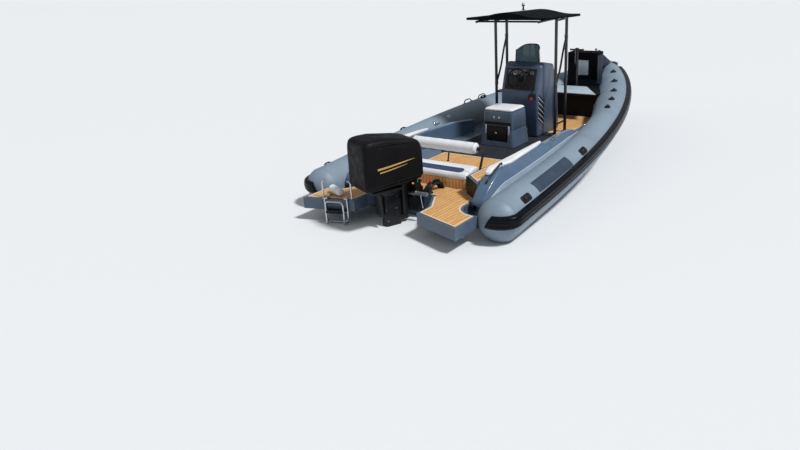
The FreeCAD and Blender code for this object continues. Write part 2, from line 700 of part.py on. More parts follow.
hatch_gap = 6
hatch_wide = S.hatch_half * 2
hatch_frame = Part.makeBox(float(hatch_wide), 61, float(S.hatch_tall), Vector(
    -float(S.hatch_half), float(S.bulkhead_y) - 1, float(S.hatch_z)))
bow_foredeck = shape_of("bow_foredeck", foredeck_solid().fuse(locker_solid()).cut(hatch_frame))
bow_hatch = box("bow_hatch", -S.hatch_half + hatch_gap, S.bulkhead_y + 2, S.hatch_z + hatch_gap,
                hatch_wide - hatch_gap - S.bond_gap, 22, S.hatch_tall - hatch_gap * 2)


def lid_half(y):
    """How wide the bow lid is on each side of the middle."""
    return inner_edge(y, tube_centre(y).z) - float(S.bow_lid_gap)


lid_aft = lid_half(float(S.bow_seat_aft_y))
lid_front = lid_half(float(S.bow_seat_front_y))
bow_lid = pad("bow_lid", "XY", [
    (-lid_aft, S.bow_seat_aft_y), (lid_aft, S.bow_seat_aft_y), (lid_front, S.bow_seat_front_y),
    (-lid_front, S.bow_seat_front_y)], S.bow_pad, start=S.bow_seat_z + 0.3)
tow_y = S.bow_seat_front_y + 110
tow_post = fused("tow_post", rod("tow_post_stem", 0, tow_y, S.bow_seat_z, 32, 700),
                 rod("tow_post_bar", -130, tow_y, S.bow_seat_z + 690, 14, 260, (1, 0, 0)))

# Outboard engine. Its pieces are drawn about the steering axis, then turned to the rest angle.
engine_place = Placement(Vector(0, float(S.steer_axis_y), 0),
                         Rotation(Vector(0, 0, 1), -float(S.steer_rest)))


def round_rect(half, back, front, z, corner):
    """A level outline with round corners, about the engine's own centre plane."""
    c = corner
    k = c * (1 - math.sqrt(0.5))
    points = [(half - c, back), (half, back + c), (half, front - c), (half - c, front),
              (-half + c, front), (-half, front - c), (-half, back + c), (-half + c, back)]
    mids = [(half - k, back + k), None, (half - k, front - k), None,
            (-half + k, front - k), None, (-half + k, back + k), None]
    edges = []
    for i in range(8):
        a = Vector(points[i][0], points[i][1], z)
        b = Vector(points[(i + 1) % 8][0], points[(i + 1) % 8][1], z)
        if mids[i]:
            edges.append(Part.Arc(a, Vector(mids[i][0], mids[i][1], z), b).toShape())
        else:
            edges.append(Part.makeLine(a, b))
    return Part.Wire(edges)


def stack(sections):
    """A loft up through level outlines. Columns: half width, back, front, height, corner."""
    return Part.makeLoft([round_rect(*section) for section in sections], True, True)


half = float(S.cowl_half)
front = float(S.cowl_front)
back = front - float(S.cowl_long)
low = float(S.cowl_z)
tall = float(S.cowl_tall)
cowl_tip = math.degrees(math.atan2(float(S.cowl_lift), float(S.cowl_long)))


def tipped(shape):
    """Turned up at the front, about the cover's lower aft edge."""
    shape.rotate(Vector(0, back, low), Vector(1, 0, 0), cowl_tip)
    return shape


def cowl_solid():
    foot = tipped(round_rect(half * 0.9, back + 25, front - 15, low, 60))
    waist = tipped(round_rect(half, back, front, low + 70, 75))
    upper = [round_rect(*row) for row in (
        (half, back, front - 8, low + tall * 0.55, 80), (half * 0.96, back + 15, front - 40, low + tall * 0.80, 85),
        (half * 0.86, back + 55, front - 110, low + tall * 0.94, 85),
        (half * 0.62, back + 150, front - 250, low + tall, 70))]
    return Part.makeLoft([foot, waist] + upper, True, True)


powerhead_space = tipped(Part.makeBox(360, 520, 380, Vector(-180, back + 130, low - 5)))
engine_cowl = shape_of("engine_cowl", cowl_solid().cut(powerhead_space), engine_place)
powerhead_block = tipped(Part.makeBox(340, 500, 340, Vector(-170, back + 140, low + 0.3)))
powerhead = shape_of("powerhead", powerhead_block.common(powerhead_space), engine_place)
yoke_low = 110
yoke_high = float(S.tilt_axis_z) + 25
leg_front = -75


def leg_solid():
    lower = [round_rect(*row) for row in (
        (55, -330, leg_front, float(S.plate_z) + 12, 40), (65, -330, leg_front, yoke_low + 60, 45),
        (75, -340, leg_front, low - 160, 50))]
    tray = [tipped(round_rect(*row)) for row in (
        (110, back + 200, leg_front, low - 95, 70), (180, back + 110, front - 90, low - 40, 70),
        (half * 0.88, back + 40, front - 30, low - 12, 60), (half * 0.88, back + 40, front - 30, low - 0.3, 60))]
    return Part.makeLoft(lower + tray, True, True)


run_gap = float(S.bond_gap)
upper_tall = low - yoke_high - run_gap
upper_yoke = Part.makeCylinder(60, upper_tall, Vector(0, 0, yoke_high + run_gap)).fuse(
    Part.makeBox(110, 100, upper_tall, Vector(-55, -100, yoke_high + run_gap)))
lower_yoke = Part.makeCylinder(50, 60, Vector(0, 0, yoke_low - 60 - run_gap)).fuse(
    Part.makeBox(90, 100, 60, Vector(-45, -100, yoke_low - 60 - run_gap)))
swivel_room = Part.makeCylinder(66, yoke_high - yoke_low + run_gap * 2, Vector(0, 0, yoke_low - run_gap))
mid_section = shape_of("mid_section", leg_solid().cut(swivel_room).fuse([upper_yoke, lower_yoke]), engine_place)


def gearcase_solid():
    prop_z = float(S.prop_z)
    plate_z = float(S.plate_z)
    body = Part.makeCylinder(62, 330, Vector(0, -400, prop_z), Vector(0, 1, 0))
    nose = Part.makeCone(62, 12, 170, Vector(0, -70, prop_z), Vector(0, 1, 0))
    strut = stack([(16, -370, 40, prop_z, 12), (40, -380, -20, plate_z, 30)])
    plate = stack([(110, -620, -30, plate_z, 60), (110, -620, -30, plate_z + 12, 60)])
    skeg_face = Part.Face(Part.makePolygon([
        Vector(-6, -60, prop_z), Vector(-6, -150, prop_z - 190), Vector(-6, -270, prop_z - 190),
        Vector(-6, -330, prop_z), Vector(-6, -60, prop_z)]))
    skeg = skeg_face.extrude(Vector(12, 0, 0))
    return body.fuse([nose, strut, plate, skeg])


gearcase = shape_of("gearcase", gearcase_solid(), engine_place)


def propeller_solid():
    prop_z = float(S.prop_z)
    hub = Part.makeCone(56, 46, 110, Vector(0, -400 - float(S.bond_gap), prop_z), Vector(0, -1, 0))
    blades = []
    for i in range(3):
        rings = []
        # columns: radius, half chord, pitch angle in degrees
        for radius, chord, pitch in ((35, 40, 62), (90, 75, 45), (150, 85, 32), (float(S.prop_radius), 35, 25)):
            angle = math.radians(pitch)
            along = Vector(math.cos(angle), -math.sin(angle), 0)
            across = Vector(math.sin(angle), math.cos(angle), 0)
            thick = 9 - 5 * radius / float(S.prop_radius)
            middle = Vector(0, -460, prop_z + radius)
            corners = [middle - along * chord, middle + across * thick / 2, middle + along * chord,
                       middle - across * thick / 2]
            rings.append(Part.makePolygon(corners + corners[:1]))
        blade = Part.makeLoft(rings, True, True)
        blade.rotate(Vector(0, -460, prop_z), Vector(0, 1, 0), 120 * i)
        blades.append(blade)
    return hub.fuse(blades)


propeller = shape_of("propeller", propeller_solid(), engine_place)

# Clamp and swivel brackets between the transom and the engine.
tilt_y = S.tilt_axis_y
tilt_z = S.tilt_axis_z
clamp_low = tilt_z - 470
clamp_plate = 29.7
clamp_parts = [box("clamp_plate", -150, -30, clamp_low, 300, clamp_plate, 370)]
for tag, x in (("right", 105), ("left", -135)):
    cheek = pad(f"clamp_cheek_{tag}", "YZ", [
        (-10.0, clamp_low + 30), (-10.0, tilt_z - 100), (tilt_y + 40, tilt_z + 5), (tilt_y + 22, tilt_z + 32),
        (tilt_y - 22, tilt_z + 32), (tilt_y - 40, tilt_z + 5), (tilt_y - 40, tilt_z - 60),
        (-60.0, clamp_low + 30)], 30, start=Size(x, str(x)))
    clamp_parts.append(cheek)
clamp_body = fused("clamp_body", *clamp_parts)
tilt_bore = rod("tilt_bore", -200, tilt_y, tilt_z, 20.05, 400, (1, 0, 0))
clamp_bracket = cut("clamp_bracket", clamp_body, tilt_bore)
tilt_tube = rod("tilt_tube", -190, tilt_y, tilt_z, 20, 380, (1, 0, 0))
knuckle = rod("knuckle", -98, tilt_y, tilt_z, 40, 196, (1, 0, 0))
swivel_tube = rod("swivel_tube", 0, S.steer_axis_y, yoke_low, 48, S.tilt_axis_z - yoke_low + 25)
web = box("swivel_web", -40, S.steer_axis_y, tilt_z - 250, 80, tilt_y - S.steer_axis_y, 260)
swivel_bracket = fused("swivel_bracket", tilt_tube, knuckle, swivel_tube, web)

# Boarding ladder, drawn about the middle of the platform's slanting aft edge: the upper section hangs
# from it, and the lower one is folded up behind.
edge_run = float(S.platform_outer_x - S.platform_in_aft_x)
edge_drop = float(S.platform_aft_y - S.platform_in_aft_y)
edge_share = (abs(float(S.ladder_x)) - float(S.platform_in_aft_x)) / edge_run
ladder_place = Placement(
    Vector(float(S.ladder_x), float(S.platform_in_aft_y) + edge_share * edge_drop, 0),
    Rotation(Vector(0, 0, 1), -math.degrees(math.atan2(edge_drop, edge_run))))
ladder_gap = 60
hinge_y = -24
hinge_z = float(S.deck_z + S.teak_thick) + 15
fold_y = hinge_y - ladder_gap
fold_z = hinge_z - float(S.ladder_long)
rung_radius = float(S.ladder_tube)


def ladder_hoop(y, open_end, closed_end, reach):
    """A hoop of tube in an upright plane, with one tread across its middle."""
    bottom, height = sorted((open_end, closed_end))
    pieces = []
    for side in (-1, 1):
        pieces.append(Part.makeCylinder(rung_radius, height - bottom, Vector(side * reach, y, bottom)))
        pieces.append(Part.makeSphere(rung_radius, Vector(side * reach, y, open_end)))
        pieces.append(Part.makeSphere(rung_radius, Vector(side * reach, y, closed_end)))
    pieces.append(Part.makeCylinder(rung_radius, reach * 2, Vector(-reach, y, closed_end), Vector(1, 0, 0)))
    pieces.append(Part.makeBox(reach * 2, 40, 22, Vector(-reach, y - 30, (bottom + height) / 2 - 11)))
    return pieces[0].fuse(pieces[1:])


lugs = []
upper_half = float(S.ladder_half)
lower_half = upper_half - 35
for side in (-1, 1):
    lug_x = side * (lower_half + rung_radius + 3 + float(S.bond_gap)) - 3
    lugs.append(Part.makeBox(6, ladder_gap + 12, 24, Vector(lug_x, fold_y - 12, fold_z - 12)))
ladder_upper = shape_of("ladder_upper", ladder_hoop(hinge_y, hinge_z, fold_z, upper_half).fuse(lugs), ladder_place)
ladder_lower = shape_of("ladder_lower", ladder_hoop(fold_y, fold_z, hinge_z - 30, lower_half), ladder_place)

# Hinge blocks on the platform, each with a standing handle outboard of the ladder.
hinges = []
block_z = float(S.deck_z + S.teak_thick) + 0.3
for side in (-1, 1):
    inner = side * (upper_half - rung_radius - float(S.bond_gap) - 15) - 15
    outer = side * (upper_half + 45)
    block = Part.makeBox(30, 100, 26, Vector(inner, hinge_y - 10, block_z))
    handle = Part.makeCylinder(rung_radius, float(S.handle_tall), Vector(outer, 40, block_z))
    foot = Part.makeCylinder(rung_radius * 2, 8, Vector(outer, 40, block_z))
    top_end = Part.makeSphere(rung_radius, Vector(outer, 40, block_z + float(S.handle_tall)))
    hinges += [block, handle.fuse([foot, top_end])]
ladder_hinges = shape_of("ladder_hinges", Part.makeCompound(hinges), ladder_place)

NODES = [
    hull, liner, cockpit_teak, sole_mat, side_steps, platforms, platform_teak, tube_right, tube_left, strakes, side_mouldings,
    coaming_cushions, bench_base, bench_cushion, backrest_frame, backrest_roll, helm_seat_box, seat_drawer,
    helm_seat_cushion, console, windscreen, steering_wheel, throttle, t_top_frame, t_top_canopy, mast_light,
    bow_base, bow_foredeck, bow_hatch, bow_lid, tow_post, engine_cowl, powerhead, mid_section, gearcase,
    propeller, clamp_bracket, swivel_bracket, ladder_upper, ladder_lower, ladder_hinges,
]
doc.recompute()
for obj in doc.Objects:
    if "Invalid" in obj.State or "Error" in obj.State:
        raise RuntimeError(f"{obj.Label} did not compute: {obj.State}")
for node in NODES:
    if node.Shape.isNull() or not node.Shape.isValid() or not node.Shape.Solids:
        raise RuntimeError(f"{node.Label} has no valid solid")
    node.Shape.exportStep(f"parts/{node.Label}.step")
    print(node.Label, len(node.Shape.Solids), round(node.Shape.Volume / 1e9, 4))
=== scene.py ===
"""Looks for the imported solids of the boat: meshes, finishes, stage, light and camera."""
import math

import bmesh
import bpy
import numpy as np
from mathutils import Matrix, Vector, noise


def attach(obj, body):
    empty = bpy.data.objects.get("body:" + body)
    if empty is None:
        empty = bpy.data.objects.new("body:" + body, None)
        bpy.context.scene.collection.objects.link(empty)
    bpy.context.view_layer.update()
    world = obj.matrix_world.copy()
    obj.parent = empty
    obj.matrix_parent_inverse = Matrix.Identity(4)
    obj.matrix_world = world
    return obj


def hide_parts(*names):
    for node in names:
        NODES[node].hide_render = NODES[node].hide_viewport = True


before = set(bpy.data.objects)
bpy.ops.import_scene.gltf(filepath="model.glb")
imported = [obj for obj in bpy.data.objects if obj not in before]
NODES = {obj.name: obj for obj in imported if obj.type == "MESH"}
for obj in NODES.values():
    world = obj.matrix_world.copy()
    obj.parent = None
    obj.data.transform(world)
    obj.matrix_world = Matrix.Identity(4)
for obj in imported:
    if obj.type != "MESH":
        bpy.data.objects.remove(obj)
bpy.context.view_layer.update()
UP, ACROSS = (0, 0, 1), (1, 0, 0)


# ---------------------------------------------------------------- colours and node trees
def lin(*rgb):
    """An sRGB colour of 0 to 255 as linear values."""
    out = [(c / 255 / 12.92) if c <= 10.3 else ((c / 255 + 0.055) / 1.055) ** 2.4 for c in rgb]
    return (*out, 1.0)


class Tree:
    """Short names for the shader nodes that the finishes use."""

    def __init__(self, name):
        self.material = bpy.data.materials.new(name)
        self.material.use_nodes = True
        self.tree = self.material.node_tree
        self.shader = self.tree.nodes["Principled BSDF"]
        self.coords = self.tree.nodes.new("ShaderNodeTexCoord").outputs["Object"]

    def put(self, socket, value):
        if isinstance(value, bpy.types.NodeSocket):
            self.tree.links.new(value, socket)
        else:
            socket.default_value = value

    def node(self, kind, out=0, settings=None, **inputs):
        made = self.tree.nodes.new("ShaderNode" + kind)
        for key, value in (settings or {}).items():
            setattr(made, key, value)
        for key, value in inputs.items():
            index = int(key[1:]) if key[0] == "_" and key[1:].isdigit() else key.replace("_", " ")
            self.put(made.inputs[index], value)
        return made.outputs[out]

    def math(self, operation, a, b=0.0, c=0.0):
        return self.node("Math", 0, {"operation": operation}, _0=a, _1=b, _2=c)

    def times(self, a, b):
        return self.math("MULTIPLY", a, b)

    def less(self, a, b):
        return self.math("SUBTRACT", a, b)

    def size(self, a):
        return self.math("ABSOLUTE", a)

    def axis(self, name):
        return self.node("SeparateXYZ", name, None, _0=self.coords)

    def scaled(self, x, y, z):
        return self.node("Mapping", 0, None, Vector=self.coords, Scale=(x, y, z))

    def noise(self, scale, detail, vector=None, rough=0.55):
        return self.node("TexNoise", "Fac", None, Vector=vector or self.coords, Scale=scale, Detail=detail,
            Roughness=rough)

    def ramp(self, value, low, high, a=0.0, b=1.0):
        return self.node("MapRange", 0, {"interpolation_type": "SMOOTHSTEP"}, Value=value, From_Min=low,
            From_Max=high, To_Min=a, To_Max=b)

    def mix(self, factor, a, b, kind="MIX"):
        made = self.tree.nodes.new("ShaderNodeMix")
        made.data_type = "RGBA"
        made.blend_type = kind
        self.put(made.inputs[0], factor)
        self.put(made.inputs[6], a)
        self.put(made.inputs[7], b)
        return made.outputs[2]

    def bump(self, height, strength=0.3, distance=0.002, after=None):
        made = self.tree.nodes.new("ShaderNodeBump")
        self.put(made.inputs["Strength"], strength)
        self.put(made.inputs["Distance"], distance)
        self.put(made.inputs["Height"], height)
        if after is not None:
            self.put(made.inputs["Normal"], after)
        return made.outputs[0]

    def finish(self, colour, rough=0.5, metal=0.0, coat=0.0, normal=None, **others):
        self.put(self.shader.inputs["Base Color"], colour)
        self.put(self.shader.inputs["Roughness"], rough)
        self.put(self.shader.inputs["Metallic"], metal)
        self.put(self.shader.inputs["Coat Weight"], coat)
        if normal is not None:
            self.put(self.shader.inputs["Normal"], normal)
        for key, value in others.items():
            self.put(self.shader.inputs[key.replace("_", " ")], value)
        return self.material


def paint(name, colour, dark, rough, coat=0.0, metal=0.0, grain=0.0, specular=0.5):
    """A painted or moulded surface with slow colour drift, fine grain and uneven gloss."""
    t = Tree(name)
    drift = t.noise(3.0, 5.0)
    shade = t.mix(t.ramp(drift, 0.35, 0.68), lin(*dark), lin(*colour))
    speck = t.noise(270.0, 2.0)
    gloss = t.ramp(t.noise(12.0, 4.0), 0.3, 0.7, rough * 0.85, rough * 1.2)
    normal = t.bump(speck, 0.25, grain) if grain else t.bump(drift, 0.15, 0.001)
    return t.finish(shade, gloss, metal, coat, normal, Specular_IOR_Level=specular)


def teak():
    """Synthetic teak: planks along the boat with dark caulking and a fine grain."""
    t = Tree("teak")
    x = t.axis("X")
    plank = t.times(x, 1 / 0.055)
    cell = t.math("FLOOR", plank)
    place = t.math("FRACT", plank)
    edge = t.size(t.less(place, 0.5))
    seam = t.ramp(edge, 0.435, 0.465)
    tone = t.node("TexWhiteNoise", "Value", {"noise_dimensions": "1D"}, W=cell)
    grain = t.noise(1.0, 6.0, t.scaled(130, 5, 60), 0.65)
    streak = t.noise(1.0, 3.0, t.scaled(32, 1.2, 10))
    wood = t.mix(t.ramp(grain, 0.3, 0.7), lin(190, 134, 74), lin(232, 182, 116))
    wood = t.mix(t.times(t.ramp(streak, 0.4, 0.75), 0.35), wood, lin(204, 148, 92))
    wood = t.mix(t.times(tone, 0.22), wood, lin(240, 196, 140))
    colour = t.mix(seam, wood, lin(96, 66, 42))
    height = t.less(t.times(grain, 0.3), seam)
    return t.finish(colour, t.ramp(grain, 0.2, 0.8, 0.5, 0.68), 0.0, 0.0, t.bump(height, 0.5, 0.0015))


def woven(name, colour, dark, rough, pitch=0.0016, depth=0.0004, coat=0.0, specular=0.5):
    """A coated fabric: a fine plain weave under colour drift."""
    t = Tree(name)
    colour, dark = lin(*colour), lin(*dark)
    waves = [t.math("SINE", t.times(t.axis(a), 2 * math.pi / pitch)) for a in "XYZ"]
    weave = t.math("ADD", t.times(waves[0], waves[1]), t.times(waves[1], waves[2]))
    drift = t.noise(2.2, 5.0)
    stain = t.noise(9.0, 4.0)
    shade = t.mix(t.ramp(drift, 0.32, 0.7), dark, colour)
    shade = t.mix(t.times(t.ramp(stain, 0.55, 0.85), 0.25), shade, dark)
    normal = t.bump(drift, 0.2, 0.004, t.bump(weave, 0.2, depth))
    return t.finish(shade, t.ramp(stain, 0.3, 0.7, rough * 0.85, rough * 1.15), 0.0, coat, normal,
        Specular_IOR_Level=specular)


def bench_vinyl():
    """White vinyl with a navy inlay that runs along the after edge to a round tip."""
    t = Tree("bench_vinyl")
    drift = t.noise(3.0, 4.0)
    white = t.mix(t.ramp(drift, 0.35, 0.7), lin(222, 225, 229), lin(236, 238, 240))
    x = t.size(t.axis("X"))
    over = t.math("MAXIMUM", t.less(x, 0.46), 0.0)
    away = t.math("ADD", t.times(t.less(t.axis("Y"), 0.447), 0.957),
        t.times(t.less(t.axis("Z"), 0.578), 0.29))
    reach = t.math("SQRT", t.math("ADD", t.times(over, over), t.times(away, away)))
    inlay = t.times(t.ramp(reach, 0.0555, 0.057, 1.0, 0.0), t.ramp(t.axis("Z"), 0.54, 0.542))
    line = t.times(t.ramp(t.size(away), 0.003, 0.004, 1.0, 0.0), t.ramp(t.axis("Z"), 0.54, 0.542))
    colour = t.mix(t.math("MAXIMUM", inlay, line), white, lin(48, 64, 100))
    edge = t.ramp(t.size(t.less(reach, 0.0562)), 0.0, 0.003, 1.0, 0.0)
    grain = t.noise(420.0, 2.0)
    height = t.less(t.times(grain, 0.12), t.times(edge, 0.8))
    return t.finish(colour, t.ramp(drift, 0.3, 0.7, 0.38, 0.5), 0.0, 0.1, t.bump(height, 0.4, 0.0015))


def smoked_glass():
    t = Tree("smoked_glass")
    return t.finish(lin(58, 74, 82), 0.04, 0.0, 0.3, None, Transmission_Weight=0.92, IOR=1.3)


# Columns: colour, darker tone, roughness, coat, metal, grain, specular level.
PAINTS = {
    "hull_gelcoat": ((80, 97, 116), (72, 88, 106), 0.34, 0.15, 0, 0, 0.35),
    "liner_gelcoat": ((108, 124, 140), (99, 114, 130), 0.36, 0.12, 0, 0, 0.35),
    "strake_rubber": ((9, 17, 25), (6, 12, 19), 0.26, 0, 0, 0, 0.12),
    "black_tube": ((26, 27, 31), (18, 19, 23), 0.3, 0.3),
    "black_plastic": ((26, 25, 29), (20, 20, 24), 0.45, 0, 0, 0.0004, 0.3),
    "chrome_fitting": ((214, 217, 221), (196, 200, 206), 0.1, 0, 1.0),
    "white_plastic": ((232, 233, 234), (220, 222, 224), 0.35),
    "engine_cover": ((16, 16, 19), (11, 11, 14), 0.5, 0, 0, 0.0003, 0.12),
    "engine_metal": ((24, 25, 29), (17, 18, 22), 0.4, 0, 0, 0.0004, 0.35),
    "propeller_steel": ((176, 180, 184), (150, 155, 160), 0.25, 0, 1.0),
    "stainless": ((200, 203, 206), (180, 184, 188), 0.16, 0, 1.0),
    "bow_board": ((182, 197, 209), (170, 186, 199), 0.4),
    "hatch_grey": ((186, 200, 208), (174, 189, 198), 0.35, 0.15),
    "sole_rubber": ((44, 47, 54), (36, 39, 46), 0.7, 0, 0, 0.002, 0.2),
    "pale_bead": ((188, 198, 208), (172, 184, 196), 0.45),
    "black_rubber": ((20, 21, 25), (14, 15, 19), 0.5, 0, 0, 0.0006, 0.3),
    "plate_slate": ((44, 62, 80), (36, 54, 72), 0.5, 0, 0, 0.0003),
    "moulding_gelcoat": ((84, 107, 132), (76, 98, 122), 0.34, 0.15, 0, 0, 0.35),
    "console_gelcoat": ((76, 92, 114), (68, 83, 104), 0.34, 0.15, 0, 0, 0.35),
    "upholstery_seam": ((196, 200, 206), (178, 184, 192), 0.5),
    "teak_border": ((226, 218, 200), (208, 198, 178), 0.6, 0, 0, 0.0006),
    "display_glass": ((14, 18, 24), (10, 13, 18), 0.08, 0.6),
    "signal_red": ((214, 34, 36), (180, 22, 26), 0.35, 0.3),
    "gold_print": ((214, 184, 104), (188, 158, 84), 0.35, 0, 0.3, 0.0003),
    "ram_grey": ((132, 138, 144), (112, 118, 126), 0.35, 0.2, 0.3),
    # Painted shade: near black stands for the shadowed space under the bow lid, not a colour of the base.
    "locker_painted_shade": ((12, 14, 19), (8, 10, 14), 0.5, 0, 0, 0, 0.2),
    # Partly the nose's own dark navy, partly painted shade on the foredeck between the tubes.
    "foredeck_navy_and_shade": ((36, 46, 62), (28, 37, 52), 0.5, 0, 0, 0.0006, 0.2),
}
# Columns: colour, darker tone, roughness, pitch and depth of the weave, coat, specular level.
WEAVES = {
    "tube_fabric": ((129, 146, 161), (121, 137, 152), 0.5),
    "upholstery": ((236, 238, 240), (222, 225, 229), 0.45, 0.0012, 0.0002, 0.1),
    "black_fabric": ((10, 13, 20), (7, 9, 15), 0.75, 0.002, 0.0005, 0, 0.08),
    "tube_tape": ((126, 146, 164), (116, 136, 154), 0.55),
}
MATERIALS = {name: paint(name, *row) for name, row in PAINTS.items()}
MATERIALS.update({name: woven(name, *row) for name, row in WEAVES.items()})
MATERIALS.update(teak_deck=teak(), bench_vinyl=bench_vinyl(), smoked_glass=smoked_glass())


def dress(obj, finish):
    obj.data.materials.clear()
    obj.data.materials.append(MATERIALS[finish])
    return obj


# Nodes whose looks differ from those of their slot; the bow seat base is painted shade, and the foredeck is
# partly painted shade.
OWN_FINISH = {"bow_seat_base": "locker_painted_shade", "bow_foredeck": "foredeck_navy_and_shade", "throttle": "black_rubber"}
for name, obj in NODES.items():
    finish = obj.data.materials[0].name.split(".")[0] if obj.data.materials else "?"
    finish = finish if finish in MATERIALS else "black_plastic"
    obj.data.materials.clear()
    obj.data.materials.append(MATERIALS[OWN_FINISH.get(name, finish)])
    obj.data.shade_smooth()
    obj.data.set_sharp_from_angle(angle=math.radians(32))


# ---------------------------------------------------------------- shapes
def unit(vector):
    vector = np.asarray(vector, float)
    return vector / max(np.linalg.norm(vector), 1e-12)


def square_to(axis):
    """Two directions at right angles to an axis."""
    axis = unit(axis)
    first = unit(np.cross(axis, (0, 0, 1) if abs(axis[2]) < 0.9 else (0, 1, 0)))
    return first, np.cross(axis, first)


def rounded_path(points, corner=0.04, steps=6, closed=False):
    """A path whose corners are turned into short curves."""
    points = [np.asarray(p, float) for p in points]
    count = len(points)
    out = [] if closed else [points[0]]
    for i in range(0 if closed else 1, count if closed else count - 1):
        before, here, after = points[i - 1], points[i], points[(i + 1) % count]
        reach = min(corner, np.linalg.norm(before - here) * 0.49, np.linalg.norm(after - here) * 0.49)
        a, b = here + unit(before - here) * reach, here + unit(after - here) * reach
        for k in range(steps + 1):
            t = k / steps
            out.append(a * (1 - t) ** 2 + here * 2 * t * (1 - t) + b * t ** 2)
    return np.array(out if closed else out + [points[-1]])


def round_section(radius, sides=14):
    turn = np.linspace(0, 2 * math.pi, sides, endpoint=False)
    return np.stack([np.cos(turn), np.sin(turn)], 1) * radius


def flat_section(wide, thick):
    path = [(-wide / 2, -thick / 2, 0), (wide / 2, -thick / 2, 0), (wide / 2, thick / 2, 0),
        (-wide / 2, thick / 2, 0)]
    return rounded_path(path, thick * 0.45, 3, True)[:, :2]


class Kit:
    """Shapes gathered into one mesh object."""

    def __init__(self):
        self.points = []
        self.faces = []

    def add(self, points, faces):
        base = len(self.points)
        self.points += [tuple(p) for p in points]
        self.faces += [tuple(i + base for i in face) for face in faces]

    def grid(self, rows, ring=False, loop=False, ends=False):
        """Quads between rows: ring closes each row, loop joins the last row to the first."""
        rows = np.asarray(rows, float)
        n, m = rows.shape[:2]
        faces = [(i * m + j, i * m + (j + 1) % m, (i + 1) % n * m + (j + 1) % m,
            (i + 1) % n * m + j) for i in range(n - (not loop)) for j in range(m - (not ring))]
        if ends:
            faces += [tuple(range(m))[::-1], tuple(range((n - 1) * m, n * m))]
        self.add(rows.reshape(-1, 3), faces)

    def lathe(self, place, axis, profile, sides=28):
        """A turned shape from rows of radius and distance along the axis, in millimetres."""
        axis = unit(axis)
        first, second = square_to(axis)
        turn = np.linspace(0, 2 * math.pi, sides, endpoint=False)[:, None]
        ring = np.cos(turn) * first + np.sin(turn) * second
        self.grid([np.asarray(place) + axis * far + ring * radius
            for radius, far in np.array(profile) / 1000], True, False, True)

    def sweep(self, points, section, corner=0.04, up=None, closed=False, steps=6):
        """A section carried along a path."""
        if np.isscalar(section):
            section = round_section(section)
        path = rounded_path(points, corner, steps, closed)
        count = len(path)
        rows = []
        side = None
        for i in range(count):
            ahead = path[(i + 1) % count] if closed or i + 1 < count else path[i]
            behind = path[i - 1] if closed or i else path[i]
            along = unit(ahead - behind)
            if up is not None:
                side = unit(np.cross(along, up))
            elif side is None:
                side = square_to(along)[0]
            else:
                side = unit(side - along * side.dot(along))
            high = np.cross(side, along)
            rows.append([path[i] + side * a + high * b for a, b in section])
        self.grid(rows, True, closed, not closed)

    def solid(self, build, bevel, segments, matrix=None):
        bm = bmesh.new()
        build(bm)
        bmesh.ops.recalc_face_normals(bm, faces=bm.faces)
        if bevel:
            edges = [e for e in bm.edges
                if len(e.link_faces) == 2 and e.calc_face_angle(0) > math.radians(18)]
            bmesh.ops.bevel(bm, geom=edges, offset=bevel, segments=segments, profile=0.5, affect="EDGES",
                clamp_overlap=True)
        if matrix is not None:
            bmesh.ops.transform(bm, matrix=matrix, verts=bm.verts)
        bm.verts.index_update()
        self.add([v.co[:] for v in bm.verts], [[v.index for v in f.verts] for f in bm.faces])
        bm.free()

    def box(self, low, high, bevel=0.004, matrix=None, segments=3):
        low, high = Vector(low), Vector(high)

        def build(bm):
            bmesh.ops.create_cube(bm, size=1)
            for v in bm.verts:
                v.co = Vector([(low[i] + high[i]) / 2 + v.co[i] * (high[i] - low[i]) for i in range(3)])
        self.solid(build, bevel, segments, matrix)

    def prism(self, outline, axis, start, end, bevel=0.004, matrix=None, segments=3):
        """An outline in the other two directions, drawn out along one axis (0, 1 or 2)."""
        def place(a, b, c):
            return {0: (c, a, b), 1: (a, c, b), 2: (a, b, c)}[axis]

        def build(bm):
            first = [bm.verts.new(place(a, b, start)) for a, b in outline]
            last = [bm.verts.new(place(a, b, end)) for a, b in outline]
            bm.faces.new(first)
            bm.faces.new(last[::-1])
            for i in range(len(outline)):
                k = (i + 1) % len(outline)
                bm.faces.new((first[i], last[i], last[k], first[k]))
        self.solid(build, bevel, segments, matrix)

    def mirror(self, axis=0):
        """The same shapes again on the other side."""
        flip = np.array([-1 if i == axis else 1 for i in range(3)])
        self.add([tuple(np.array(p) * flip) for p in self.points], [face[::-1] for face in self.faces])
        return self

    def make(self, name, finish, body="hull", slot=None, sharp=35, replaces=(), matrix=None):
        mesh = bpy.data.meshes.new(name)
        mesh.from_pydata(self.points, [], self.faces)
        bm = bmesh.new()
        bm.from_mesh(mesh)
        bmesh.ops.remove_doubles(bm, verts=bm.verts, dist=1e-6)
        bmesh.ops.recalc_face_normals(bm, faces=bm.faces)
        if matrix is not None:
            bmesh.ops.transform(bm, matrix=matrix, verts=bm.verts)
        bm.to_mesh(mesh)
        bm.free()
        mesh.shade_smooth()
        mesh.set_sharp_from_angle(angle=math.radians(sharp))
        obj = bpy.data.objects.new(name, mesh)
        bpy.context.scene.collection.objects.link(obj)
        dress(obj, finish)
        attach(obj, body)
        if replaces:
            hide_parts(*replaces)
        return obj


# ---------------------------------------------------------------- tubes and strakes
HALF_BEAM, R_AFT, R_BOW, TUBE_END_Y, TUBE_END_LONG = 1.748, 0.282, 0.205, -0.24, 0.22
TAPER_Y, BOW_Y, FRONT_Y, TUBE_Z, TUBE_RISE = -0.26, 6.54, 6.49, 0.27, 0.625
BOW_SWELL = 0.095
TAPE_HALF, TAPE_LIFT = 0.0125, 0.0012


def taper(y):
    return min(max((y - TAPER_Y) / (BOW_Y - TAPER_Y), 0.0), 1.0)


def tube_radius(y):
    return R_AFT + (R_BOW - R_AFT) * taper(y)


